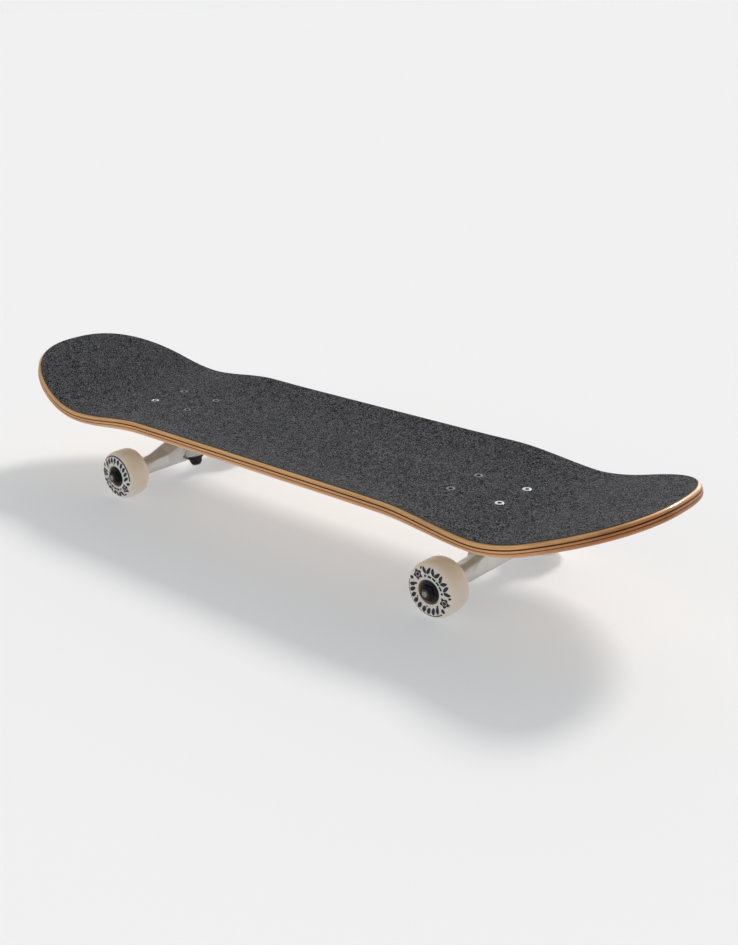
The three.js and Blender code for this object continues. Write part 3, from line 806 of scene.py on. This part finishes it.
def build_deck():
    section, marks = edge_section()
    deck = board_sheet(section, marks, len(PLIES))
    holes = []
    for end in ENDS:
        for x, y in bolt_places():
            at = CENTRES[end] + Vector((x, y, 0))
            hole = turned([
                (0, -60), (BOLT_HOLE_RADIUS, -60), (BOLT_HOLE_RADIUS, -3.2),
                (BOLT_HEAD_RADIUS + 0.3, -0.9), (BOLT_HEAD_RADIUS + 0.3, 20), (0, 20),
            ], steps=40)
            holes.append(shifted(hole, at.x, at.y, DECK_TOP))
    woods = [wood for _, wood in PLIES] + ["maple_face"]
    give_materials(deck, woods)
    deck = combined(deck, "DIFFERENCE", [joined(holes)])
    place("seven_ply_deck", deck, Matrix(), "board", "maple", woods, "deck", crease=38)


def build_griptape():
    outer = EDGE_RADIUS + GLUE_LINE + GRIP_THICKNESS
    inner = EDGE_RADIUS + GLUE_LINE
    filed = outer - 0.3
    angles = [GRIP_WRAP * k / 6 for k in range(7)]

    def ring_point(radius, angle):
        return EDGE_RADIUS - radius * math.sin(angle), radius * math.cos(angle) - EDGE_RADIUS

    section = [ring_point(outer, a) for a in angles]
    section.append(ring_point(filed, GRIP_WRAP + math.radians(5)))
    section += [ring_point(inner, a) for a in reversed(angles)]
    marks = [0] * 5 + [1, 1, 1] + [0] * (len(section) - 9)  # the filed rim is three steps
    sheet = board_sheet(section, marks, 0)
    holes = []
    for end in ENDS:
        for i, (x, y) in enumerate(bolt_places()):
            at = CENTRES[end] + Vector((x, y, 0))
            hole = ragged_hole(BOLT_HEAD_RADIUS + 0.25, tear=0.22, seed=i + 10 * ENDS.index(end))
            holes.append(shifted(hole, at.x, at.y, DECK_TOP))
    finishes = ["griptape", "griptape_filed_edge"]
    give_materials(sheet, finishes)
    sheet = combined(sheet, "DIFFERENCE", [joined(holes)])
    place("griptape_sheet", sheet, Matrix(), "board", "griptape", finishes, "griptape", crease=50)


def bolt_places():
    return [(x * BOLT_PITCH[0] / 2, y * BOLT_PITCH[1] / 2) for x in (-1, 1) for y in (-1, 1)]


# ---- Fasteners ----

def six_corners(radius):
    angles = [i * math.pi / 3 for i in range(6)]
    return [(radius * math.cos(a), radius * math.sin(a)) for a in angles]


def hexagon(across_flats, start, end, bore=0.0):
    """A hexagonal head or nut about +Z with turned chamfers at both ends."""
    corner = across_flats / math.sqrt(3)
    body = extruded(six_corners(corner), start, end)
    flat, outside = across_flats / 2 * 0.96, corner + 0.1
    drop = 0.16 * (corner - across_flats / 2) * 3
    dome = turned([
        (0, start), (flat, start), (outside, start + drop), (outside, end - drop), (flat, end), (0, end),
    ], steps=72)
    body = combined(body, "INTERSECT", [dome])
    if bore:
        mouth = bore + 0.6
        cutter = turned([
            (0, start - 1), (mouth, start - 1), (mouth, start), (bore, start + 0.6),
            (bore, end - 0.6), (mouth, end), (mouth, end + 1), (0, end + 1),
        ], steps=48)
        body = combined(body, "DIFFERENCE", [cutter])
    return body


def lock_nut(across_flats, bore, start, end, far):
    """A nut whose plain end is at start and whose nylon collar rises to far. Material 1 is the nylon."""
    body = marked(hexagon(across_flats, start, end, bore), 0)
    crown = 0.44 * across_flats
    lift = 1 if far > end else -1
    collar = hoop([
        (bore + 0.9, end - 0.2 * lift), (crown, end - 0.2 * lift), (crown, far - 0.9 * lift),
        (crown - 0.9, far), (bore + 0.9, far),
    ], 0.35, steps=64)
    inside, outside, top = bore + 0.05, bore + 0.85, far - 0.35 * lift
    insert = hoop([(inside, end), (outside, end), (outside, top), (inside, top)], 0.15, steps=64)
    return joined([body, marked(collar, 0), marked(insert, 1)])


def deck_bolt():
    """A countersunk bolt, its top at z = 0, with a hexagon socket and a rolled thread."""
    thread_from, thread_to, step = -BOLT_LENGTH, -9, 0.13
    shank = [(BOLT_RADIUS, thread_from + step * k) for k in range(1, int((thread_to - thread_from) / step))]
    head = rounded([
        (BOLT_RADIUS, -8.5), (BOLT_RADIUS, -2.6), (BOLT_HEAD_RADIUS, -0.55), (BOLT_HEAD_RADIUS, 0), (0, 0),
    ], 0.22)
    profile = [(0, thread_from), (BOLT_RADIUS - 0.5, thread_from), *shank, *head]
    body = turned(profile, steps=48, thread=(thread_from, thread_to, 0.8, 0.42))
    corner = SOCKET_FLATS / math.sqrt(3)
    socket = extruded(six_corners(corner), -1.7, 2)
    rim = turned([
        (0, -0.35), (corner - 0.15, -0.35), (corner + 0.35, 0.15), (corner + 0.35, 1), (0, 1),
    ], steps=50)
    body = cleaned(combined(body, "DIFFERENCE", [socket, rim]))
    for face in body.polygons:
        off_axis = math.hypot(face.center.x, face.center.y) / MM
        deep = face.center.z / MM
        face.material_index = int(off_axis < corner + 0.1 and -1.8 < deep < -0.30)
    return body


# ---- Trucks ----

KINGPIN_DIRECTION = Vector((-math.sin(KINGPIN_TILT), 0, math.cos(KINGPIN_TILT)))


def kingpin_origin():
    """The kingpin's nut end in the truck's frame, worked out from the CAD's lower washer."""
    washer = centre_of("nose_washer_roadside") / MM - CENTRES["nose"]
    return washer - KINGPIN_DIRECTION * (ROAD_WASHER + 0.8)


KINGPIN_END = kingpin_origin()
RING_CENTRE = KINGPIN_END + KINGPIN_DIRECTION * sum(RING) / 2
STEER_DIRECTION = (RING_CENTRE - PIVOT).normalized()
AXLE = Vector((AXLE_OFFSET, 0, -TRUCK_HEIGHT))
ON_KINGPIN = along(KINGPIN_END, KINGPIN_DIRECTION)
ON_STEER_AXIS = along(PIVOT, STEER_DIRECTION)
ON_AXLE = along(AXLE, (0, 1, 0))


def steered(mesh, degrees):
    """Turns a mesh about the steering axis."""
    pivot = Matrix.Translation(PIVOT * MM)
    turn = Matrix.Rotation(math.radians(degrees), 4, STEER_DIRECTION)
    return moved(mesh, pivot @ turn @ pivot.inverted())


def ball(radius, steps=10):
    """A quarter circle of profile points from the pole at -radius to the equator."""
    arcs = [i * math.pi / 2 / steps for i in range(steps + 1)]
    return [(radius * math.sin(a), -radius * math.cos(a)) for a in arcs]


def hull(points):
    """The convex mesh round some points."""
    mesh = empty()
    with editing(mesh) as work:
        for point in points:
            work.verts.new(Vector(point) * MM)
        spare = bmesh.ops.convex_hull(work, input=work.verts)["geom_interior"]
        inside = [g for g in spare if isinstance(g, bmesh.types.BMVert)]
        bmesh.ops.delete(work, geom=inside, context="VERTS")
    return mesh


def hanger_section(station, side):
    """A cross-section of the hanger's body: the housing, the wing's tip and the inboard corners."""
    distance, shift, wing, inboard = station
    flat = []
    for i in range(32):
        angle = 2 * math.pi * i / 32
        flat.append((shift + HOUSING_RADIUS * math.sin(angle), HOUSING_RADIUS * math.cos(angle)))
    for half in (-WING_HALF_THICKNESS, WING_HALF_THICKNESS):
        flat.append((WING_LEAN[0] * wing + WING_LEAN[1] * half, WING_LEAN[1] * wing - WING_LEAN[0] * half))
    flat += inboard
    return [(AXLE.x + x, side * distance, AXLE.z + z) for x, z in flat]


def hanger_mesh():
    """The hanger as one casting: axle housing, wings swept up to the pivot, kingpin ring and stalk."""
    length = HANGER_HALF_LENGTH
    parts = [moved(rod(HOUSING_RADIUS, -length, length, edge=0.8), ON_AXLE)]
    for side in (-1, 1):
        sections = [hanger_section(station, side) for station in HANGER_STATIONS]
        parts += [hull(a + b) for a, b in zip(sections, sections[1:])]
    parts.append(moved(rod(RING_RADIUS, *RING, edge=1.2), ON_KINGPIN))
    neck = [*ball(PIVOT_RADIUS), (PIVOT_RADIUS, 6), (6.2, 8), (8, 15), (11, 26), (12, 34), (0, 34)]
    parts.append(moved(turned(neck), ON_STEER_AXIS))
    body = cast(joined(parts), 0.62, 10)
    washer_room, cone_room, barrel_room = ROAD_WASHER_RADIUS + 0.8, 11.5, 13
    lip = ROAD_BUSHING + 1.2
    low, high, past = ROAD_BUSHING - 1, RING[0], RING[1] + 12
    hole = [(0, low), (washer_room, low), (cone_room, high), (RING_BORE, high), (RING_BORE, past), (0, past)]
    cuts = []
    for degrees in range(-STEER_RANGE, STEER_RANGE + 1, 5):
        cuts.append(steered(moved(rod(barrel_room, RING[1], 60), ON_KINGPIN), degrees))
        cuts.append(steered(moved(rod(washer_room, -20, lip), ON_KINGPIN), degrees))
    cuts.append(moved(turned(hole), ON_KINGPIN))
    cuts.append(moved(rod(AXLE_RADIUS + 0.1, -80, 80), ON_AXLE))
    return cleaned(combined(body, "DIFFERENCE", cuts))


def baseplate_mesh():
    """The baseplate casting: plate, side ribs, kingpin boss and pivot-cup housing."""
    x, y, corner = PLATE["length"] / 2, PLATE["width"] / 2, PLATE["corner"]
    outline = rounded([(x, y), (-x, y), (-x, -y), (x, -y)], corner, closed=True, steps=10)
    top = -PLATE["gap"]
    plate = extruded(outline, top - PLATE["thickness"], top, edge=0.9)
    boss = moved(turned([(0, BOSS), (12.5, BOSS), (19, 62), (19, 75), (0, 75)]), ON_KINGPIN)
    housing = moved(turned([(0, -9.4), (7, -9.4), (10.2, -7), (10.2, 5.4), (0, 5.4)]), ON_STEER_AXIS)
    spine = shifted(extruded([(-17, -6.5), (17, -6.5), (17, 6.5), (-17, 6.5)], -6, 6, 0.8), -18, 0, -9)
    ribs = []
    for side in (-1, 1):
        foot = [(-31, 15), (24, 15), (24, 12.4), (-31, 12.4)]
        ribs.append(extruded([(a, side * b) for a, b in foot], -9.2, -3, 0.6))
    above = shifted(extruded([(-100, -100), (100, -100), (100, 100), (-100, 100)], 0, 60), z=top)
    body = combined(plate, "UNION", [boss, housing, spine, *ribs])
    body = combined(body, "DIFFERENCE", [above])
    body = cast(body, 0.6, 5)
    hole, pocket = KINGPIN_RADIUS + 0.15, HEAD[0] - 0.3
    kingpin_room = turned([(0, 0), (hole, 0), (hole, pocket), (9, pocket), (9, 80), (0, 80)])
    cup_room = turned([(0, -7), (7.7, -7), (7.7, 5.3), (8.2, 5.5), (14, 26), (0, 26)])
    cuts = [moved(kingpin_room, ON_KINGPIN), moved(cup_room, ON_STEER_AXIS)]
    for a, b in bolt_places():
        cuts.append(shifted(rod(BOLT_HOLE_RADIUS, -20, 20, steps=40), a, b))
    return combined(body, "DIFFERENCE", cuts)


def kingpin_mesh():
    threaded, pitch, depth = 9.0, 1.06, 0.55
    top = HEAD[0] + 0.5
    shank = [(KINGPIN_RADIUS, THREAD_STEP * k) for k in range(1, 60)]
    profile = [(0, 0), (KINGPIN_RADIUS - 0.7, 0), *shank, (KINGPIN_RADIUS, top), (0, top)]
    body = turned(profile, thread=(0.0, threaded, pitch, depth))
    return moved(joined([body, hexagon(KINGPIN_HEAD_FLATS, *HEAD)]), ON_KINGPIN)


def axle_mesh():
    """The axle, with a rolled thread at each end."""
    end, pitch, depth = AXLE_HALF_LENGTH, 1.06, 0.5
    threaded = end - THREAD_LENGTH
    half = [(AXLE_RADIUS - 1.3, end), (AXLE_RADIUS - 0.5, end - 0.4)]
    half += [(AXLE_RADIUS, end - THREAD_STEP * k) for k in range(4, int(THREAD_LENGTH / THREAD_STEP))]
    line = [(0, end), *half, *((r, -a) for r, a in reversed(half)), (0, -end)]
    halves = []
    for low, high, thread in ((0, 200, (threaded, end)), (-200, 0, (-end, -threaded))):
        keep = extruded([(-20, -20), (20, -20), (20, 20), (-20, 20)], low, high)
        halves.append(combined(turned(line, thread=(*thread, pitch, depth)), "INTERSECT", [keep]))
    whole = combined(halves[0], "UNION", [halves[1]])
    for face in whole.polygons:
        off_axis = math.hypot(face.center.x, face.center.y) / MM
        face.material_index = int(off_axis > AXLE_RADIUS - 1.4 and abs(face.center.z) / MM > threaded)
    return moved(whole, ON_AXLE)


def cup_washer(radius, start, rim):
    """A dished washer that holds a bushing; rim says which way along the kingpin its lip points."""
    near, far = (start, start + 1.6) if rim > 0 else (start + 1.6, start)
    lip = far + 0.9 * rim
    profile = [
        (KINGPIN_RADIUS + 0.2, near), (radius - 2.2, near), (radius - 0.1, far - 0.6 * rim), (radius, lip),
        (radius - 0.4, lip), (radius - 0.6, far), (KINGPIN_RADIUS + 0.2, far),
    ]
    return moved(hoop(profile, 0.25), ON_KINGPIN)


def barrel_bushing():
    start, end = RING[1] + 0.05, BOARD_WASHER - 0.05
    outside = curve_through([
        (11.3, start + 0.9), (11.9, start + 3), (12.2, (start + end) / 2), (11.9, end - 3), (11.3, end - 0.9),
    ])
    profile = [(5.9, start), (10.4, start), *outside, (10.4, end), (5.1, end)]
    return moved(turned(profile, closed=True), ON_KINGPIN)


def cone_bushing():
    start, end = ROAD_BUSHING - 0.25, RING[0] - 0.05
    outline = [(5.1, start), (10, start), (11.2, end - 1.6), (10.9, end), (5.9, end)]
    return moved(hoop(outline, 0.5), ON_KINGPIN)


def pivot_cup_mesh():
    inside = PIVOT_RADIUS + 0.1
    profile = [(0, -6.8), (6.2, -6.8), (7.55, -5.4), (7.55, 5.4), (inside, 5.4), *reversed(ball(inside))]
    return moved(turned(profile), ON_STEER_AXIS)


# ---- Wheels, about +Z with their outer face up ----

def wheel_profile():
    """The rounded outline of half a wheel's section, from the bearing seat to the middle of the tread."""
    seat_inner = BEARING_OFFSET - BEARING_WIDTH / 2 - 0.1
    half = WHEEL_HALF_WIDTH
    return [
        (9.5, seat_inner), (SEAT_RADIUS, seat_inner), (SEAT_RADIUS, half - 0.9), (SEAT_RADIUS + 0.5, half),
        (19.6, half), (22.6, half - 0.9), (24.7, half - 3.2), (25.8, half - 6.4), (WHEEL_RADIUS, half - 9.5),
    ]


def wheel_section():
    half = wheel_profile()
    whole = [(r, -a) for r, a in half] + [(r, a) for r, a in reversed(half)]
    fine = []
    for i, corner in enumerate(whole):
        before, after = whole[i - 1], whole[(i + 1) % len(whole)]
        size = 3.0 if corner[0] > 19 else 0.4
        fine += rounded([before, corner, after], size, steps=8)[1:-1]
    return fine


def wheel_mesh():
    section = wheel_section()
    marks = []
    for i, point in enumerate(section):
        following = section[(i + 1) % len(section)]
        marks.append(int(max(point[0], following[0]) < SEAT_EDGE))
    return turned(section, closed=True, steps=160, marks=marks)


def face_height(radius):
    """How far out the wheel's outer face stands at a radius."""
    outer = sorted((p[0], p[1]) for p in wheel_section() if p[1] > 3 and p[0] > SEAT_EDGE)
    return float(np.interp(radius, [p[0] for p in outer], [p[1] for p in outer]))


def printed(rows, closed=False):
    """Ink over the wheel's face. Each row lists (radius, angle in degrees) points across the stroke."""
    sink, lift = 0.05, 0.035
    count, across = len(rows), len(rows[0])
    points = []
    for off in (lift, -sink):
        for row in rows:
            for radius, degrees in row:
                angle = math.radians(degrees)
                points.append((radius * math.cos(angle), radius * math.sin(angle), face_height(radius) + off))

    def at(side, i, j):
        return (side * count + i % count) * across + j

    faces = []
    for i in range(count if closed else count - 1):
        for j in range(across - 1):
            for side in (0, 1):
                faces.append((at(side, i, j), at(side, i + 1, j), at(side, i + 1, j + 1), at(side, i, j + 1)))
        for j in (0, across - 1):
            faces.append((at(0, i, j), at(1, i, j), at(1, i + 1, j), at(0, i + 1, j)))
    if not closed:
        for i in (0, count - 1):
            for j in range(across - 1):
                faces.append((at(0, i, j), at(0, i, j + 1), at(1, i, j + 1), at(1, i, j)))
    return mesh_of(points, faces)


def printed_band(inner, outer, start, end):
    count = max(6, int((end - start) / 3))
    angles = [start + (end - start) * i / count for i in range(count + 1)]
    return printed([((inner, a), ((inner + outer) / 2, a), (outer, a)) for a in angles])


def leaf(radius, degrees, long, wide, lean, fullness=0.7):
    """A leaf that points outwards and leans round the wheel."""
    rows = []
    for k in range(17):
        t = math.sin((k / 8 - 1) * math.pi / 2)
        half = 0.04 + wide * (1 - t * t) ** fullness
        middle = lean * long * t
        r = radius + long * t
        rows.append([(r, degrees + math.degrees((middle + side) / r)) for side in (-half, half)])
    return printed(rows)


def dot(radius, degrees, size):
    return leaf(radius, degrees, size, size, 0, 0.5)


def rosette(radius, degrees, size):
    """A flower of five lobes: a scalloped ring round a solid middle."""
    rows = []
    for k in range(40):
        a = 2 * math.pi * k / 40
        lobe = 0.84 + 0.16 * math.cos(5 * a)
        row = []
        for step in range(5):
            reach = size * (0.46 + (lobe - 0.46) * step / 4)
            r = radius + reach * math.cos(a)
            row.append((r, degrees + math.degrees(reach * math.sin(a) / r)))
        rows.append(row)
    return [printed(rows, closed=True), dot(radius, degrees, 0.34 * size)]


def wheel_print():
    """A generic ring ornament: a garland above, rosettes at the sides and a fan of leaves below."""
    parts = [*rosette(18.2, 74, 5.0), *rosette(18.2, -74, 5.0)]
    for k in range(8):
        at = 13.4 * (k - 3.5)
        parts.append(leaf(19.9, at, 3.2, 1.75, 0.4 if k % 2 else -0.3))
    for k in range(4):
        parts.append(printed_band(13.6, 15.7, 19 * (k - 2) + 2, 19 * (k - 2) + 17))
    for side in (-1, 1):
        parts.append(dot(14.9, side * 47, 1.15))
        parts.append(dot(22.3, side * 57, 1.1))
        parts.append(dot(14.4, side * 104, 1.0))
        parts.append(leaf(20.6, side * 98, 2.2, 1.7, 0.3 * side))
        for k in range(4):
            parts.append(leaf(17.7 + 0.1 * k, side * (113 + 16.5 * k), 3.4, 1.9, side * (0.5 - 0.13 * k)))
        parts.append(dot(14.0, side * 154, 0.8))
    parts.append(leaf(18.0, 180, 3.5, 1.9, 0))
    parts.append(printed_band(21.9, 23.0, 108, 252))
    return joined(parts)


def outer_race():
    """A bearing's outer ring and rubber shield, about its own middle. Material 1 is the shield."""
    half = BEARING_WIDTH / 2
    ring = sleeve(10.2, BEARING_RADIUS, -half, half, edge=0.3)
    shields = []
    for side in (-1, 1):
        face = [(5.75, 2.3), (10.3, 2.3), (10.3, 3.3), (9.6, 3.4), (8.4, 3.4), (8.1, 3.15), (7.2, 3.15),
                (7.0, 3.3), (6.3, 3.3), (5.75, 3.02)]
        face = [(r, side * z) for r, z in face]
        shields.append(marked(hoop(face, 0.12), 1))
    return joined([marked(ring, 0), *shields])


def inner_race():
    return sleeve(AXLE_RADIUS + 0.04, 5.6, -BEARING_WIDTH / 2, BEARING_WIDTH / 2, edge=0.3)


# ---- Putting it together ----

def truck_matrix(end):
    turn = Matrix.Rotation(math.pi if end == "tail" else 0.0, 4, "Z")
    return Matrix.Translation(CENTRES[end] * MM) @ turn


def kingpin_nut_mesh():
    """The kingpin's lock nut on its conical flange."""
    nut = moved(lock_nut(NUT_FLATS["kingpin"], KINGPIN_RADIUS + 0.05, 8.1, 3.6, 1.5), ON_KINGPIN)
    bore = KINGPIN_RADIUS + 0.3
    flange = [(bore, 8.15), (8.2, 8.15), (8.1, 7.6), (6.9, 5.6), (bore, 5.6)]
    return joined([nut, moved(hoop(flange, 0.2), ON_KINGPIN)])


def build_trucks():
    cast_in = ["cast_aluminium"]
    black = ("black_steel", ["black_steel", "nylon"])
    soft = ("bushing", ["bushing"])
    # name, mesh, body (a bushing has none), slot, materials, CAD node
    pieces = (
        ("baseplate_casting", baseplate_mesh(), "board", "cast_aluminium", cast_in, "baseplate"),
        ("hanger_casting", hanger_mesh(), "hanger", "cast_aluminium", cast_in, "hanger"),
        ("pivot_cup_rubber", pivot_cup_mesh(), "board", "pivot_rubber", ["pivot_rubber"], "pivot_cup"),
        ("kingpin_bolt", kingpin_mesh(), "board", "steel", ["steel"], "kingpin"),
        ("kingpin_lock_nut", kingpin_nut_mesh(), "board", *black, "kingpin_nut"),
        ("cup_washer_boardside", cup_washer(BOARD_WASHER_RADIUS, BOARD_WASHER, -1), "board", *black,
         "washer_boardside"),
        ("cup_washer_roadside", cup_washer(ROAD_WASHER_RADIUS, ROAD_WASHER, 1), "board", *black,
         "washer_roadside"),
        ("barrel_bushing", barrel_bushing(), None, *soft, "bushing_boardside"),
        ("cone_bushing", cone_bushing(), None, *soft, "bushing_roadside"),
        ("axle_rod", axle_mesh(), "hanger", "steel", ["steel", "thread_steel"], "axle"),
    )
    # each bushing's stations at the washer, which stands still, and at the ring, which turns
    grips = {
        "barrel_bushing": (BOARD_WASHER - 1.0, RING[1] + 1.0),
        "cone_bushing": (ROAD_BUSHING + 0.8, RING[0] - 1.0),
    }
    bolt = deck_bolt()
    nut = lock_nut(NUT_FLATS["deck"], BOLT_RADIUS + 0.05, 0, -4.2, -6.0)
    for end in ENDS:
        at = truck_matrix(end)
        hanger = f"{end}_hanger"
        for name, mesh, body, slot, materials, node in pieces:
            body = hanger if body == "hanger" else body
            piece = place(f"{end}_{name}", mesh, at, body, slot, materials, f"{end}_{node}")
            if name in grips:
                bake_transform(piece)
        build_deck_bolts(end, bolt, nut)


def build_deck_bolts(end, bolt, nut):
    draw = random.Random(end)
    for row in ("inner", "outer"):
        for hand in HANDS:
            which = f"{row}_{hand}"
            low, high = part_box(f"{end}_bolt_{which}")
            top = Vector(((low.x + high.x) / 2, (low.y + high.y) / 2, high.z))
            turn = Matrix.Rotation(draw.uniform(0, math.pi / 3), 4, "Z")
            # painted glint: the listed bolts get the lighter steel, the rest the dark one
            finish = "bolt_steel" if f"{end}_{which}" in GLINT_PAINTED_BOLTS else "dull_bolt"
            at = Matrix.Translation(top) @ turn
            steel = ("bolt_steel", [finish, "socket_shade"])
            place(f"{end}_deck_bolt_{which}", bolt, at, "board", *steel, f"{end}_bolt_{which}")
            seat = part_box(f"{end}_lock_nut_{which}")[1].z
            at = Matrix.Translation((top.x, top.y, seat)) @ turn
            steel = ("steel", ["steel", "nylon"])
            place(f"{end}_deck_nut_{which}", nut, at, "board", *steel, f"{end}_lock_nut_{which}")


def build_wheels():
    races = ("bearing", ["bearing_steel", "bearing_shield"])
    steel = ("steel", ["thread_steel"])
    outer, inner = outer_race(), inner_race()
    wide, narrow = (sleeve(AXLE_RADIUS + 0.2, r, -h, h, edge=0.15) for r, h in ((7.2, 0.45), (6.6, 0.55)))
    # name, mesh, distance out from the wheel's middle, slot, materials, CAD node
    rolling = [
        ("tyre", wheel_mesh(), 0, "urethane", ["urethane", "urethane_bore"], "wheel"),
        ("ornament", wheel_print(), 0, "urethane", ["print_ink"], None),
    ]
    standing = []
    for where, offset in (("outboard", BEARING_OFFSET), ("inboard", -BEARING_OFFSET)):
        node = f"bearing_{where}"
        rolling.append((f"outer_race_{where}", outer, offset, *races, node))
        standing.append((f"inner_race_{where}", inner, offset, "bearing", ["bearing_steel"], node))
    standing += [
        ("spacer_sleeve", sleeve(AXLE_RADIUS + 0.1, 6, -4.7, 4.7, edge=0.4), 0, *steel, "bearing_spacer"),
        ("speed_washer_outboard", wide, 12.5, *steel, None),
        ("speed_washer_inboard", narrow, -12.75, *steel, None),
        ("axle_lock_nut", lock_nut(NUT_FLATS["axle"], AXLE_RADIUS + 0.05, 0, 4.0, 6.1), 13.0,
         "black_steel", ["black_steel", "nylon"], "axle_nut"),
    ]
    creases = {"tyre": 30, "ornament": 60}
    for corner, angle in WHEEL_ANGLES.items():
        end, hand = corner.split("_")
        way = HANDS[hand]
        middle = centre_of(f"{corner}_wheel")
        for pieces, body in ((rolling, f"{corner}_wheel"), (standing, f"{end}_hanger")):
            for name, mesh, distance, slot, materials, node in pieces:
                outwards = middle / MM + Vector((0, way * distance, 0))
                turns = angle if name in ("tyre", "ornament", "axle_lock_nut") else 0
                at = along(outwards, (0, way, 0)) @ Matrix.Rotation(math.radians(turns), 4, "Z")
                nodes = [f"{corner}_{node}"] if node else []
                crease = creases.get(name, 32)
                place(f"{corner}_{name}", mesh, at, body, slot, materials, *nodes, crease=crease)


# ---- Studio ----

FLOOR_SIZE = 120.0  # metres
CAMERA_PLACE = Vector((0.8230, -0.8301, 0.5019))
CAMERA_AZIMUTH = math.radians(132.28)  # which way it looks, from +X towards +Y
CAMERA_DOWN = math.radians(21.06)
CAMERA_ROLL = math.radians(-1.20)
CAMERA_LENS = 47.1  # for a 36 mm sensor along the picture's long side
KEY_ELEVATION = math.radians(39)
KEY_AZIMUTH = math.radians(93)
KEY_SPREAD = math.radians(13)
KEY_STRENGTH = 2.55
SKY = 0.28
PANELS = (  # the room's bright walls: azimuth and elevation in degrees, tightness, strength
    (100, 8, 3, 1.9),
    (270, 8, 4, 1.0),
)
BACKDROP = 0.872


def heading(azimuth, elevation):
    """The direction at an azimuth from +X towards +Y and an elevation."""
    level = math.cos(elevation)
    return Vector((math.cos(azimuth) * level, math.sin(azimuth) * level, math.sin(elevation)))


def build_studio():
    half = FLOOR_SIZE / 2
    corners = [(x * half, y * half, 0) for x, y in ((-1, -1), (1, -1), (1, 1), (-1, 1))]
    floor = bpy.data.meshes.new("floor")
    floor.from_pydata(corners, [], [(0, 1, 2, 3)])
    floor.materials.append(studio_floor())
    in_scene("studio_floor", floor)

    sun = bpy.data.lights.new("key", "SUN")
    sun.energy = KEY_STRENGTH
    sun.angle = KEY_SPREAD
    key = in_scene("key", sun)
    key.rotation_mode = "QUATERNION"
    key.rotation_quaternion = heading(KEY_AZIMUTH, KEY_ELEVATION).to_track_quat("Z", "Y")


def build_sky():
    """A dim white room with two soft bright walls. The camera sees it as the pale backdrop."""
    world = bpy.data.worlds.new("studio")
    bpy.context.scene.world = world
    world.use_nodes = True
    room = Nodes(world.node_tree)
    direction = room.node("TexCoord").outputs["Generated"]
    level = SKY
    for azimuth, elevation, tightness, strength in PANELS:
        wall = tuple(heading(math.radians(azimuth), math.radians(elevation)))
        facing = room.node("VectorMath", {0: direction, 1: wall}, operation="DOT_PRODUCT").outputs["Value"]
        lobe = room.math("POWER", room.math("MAXIMUM", facing, 0.0), tightness)
        level = room.math("ADD", room.math("MULTIPLY", lobe, strength), level)
    light = room.tree.nodes["Background"]
    room.give(light.inputs["Strength"], level)
    room.give(light.inputs["Color"], (1, 1, 1))
    backdrop = room.node("Background", {"Color": (BACKDROP, BACKDROP, BACKDROP)})
    seen = room.node("LightPath").outputs["Is Camera Ray"]
    shown = room.node("MixShader", {0: seen, 1: light.outputs[0], 2: backdrop.outputs[0]})
    room.give(room.tree.nodes["World Output"].inputs["Surface"], shown.outputs[0])
    bpy.context.scene.view_settings.view_transform = "Standard"


def build_camera():
    level = Vector((math.sin(CAMERA_AZIMUTH), -math.cos(CAMERA_AZIMUTH), 0))
    ahead = heading(CAMERA_AZIMUTH, -CAMERA_DOWN)
    upright = level.cross(ahead)
    right = math.cos(CAMERA_ROLL) * level + math.sin(CAMERA_ROLL) * upright
    up = math.cos(CAMERA_ROLL) * upright - math.sin(CAMERA_ROLL) * level
    lens = bpy.data.cameras.new("camera")
    lens.lens = CAMERA_LENS
    lens.sensor_width = 36
    lens.clip_end = 200
    camera = in_scene("camera", lens)
    turn = Matrix((right, up, -ahead)).transposed().to_4x4()
    camera.matrix_world = Matrix.Translation(CAMERA_PLACE) @ turn
    bpy.context.scene.camera = camera


build_camera()
build_deck()
build_griptape()
build_trucks()
build_wheels()
build_studio()
build_sky()
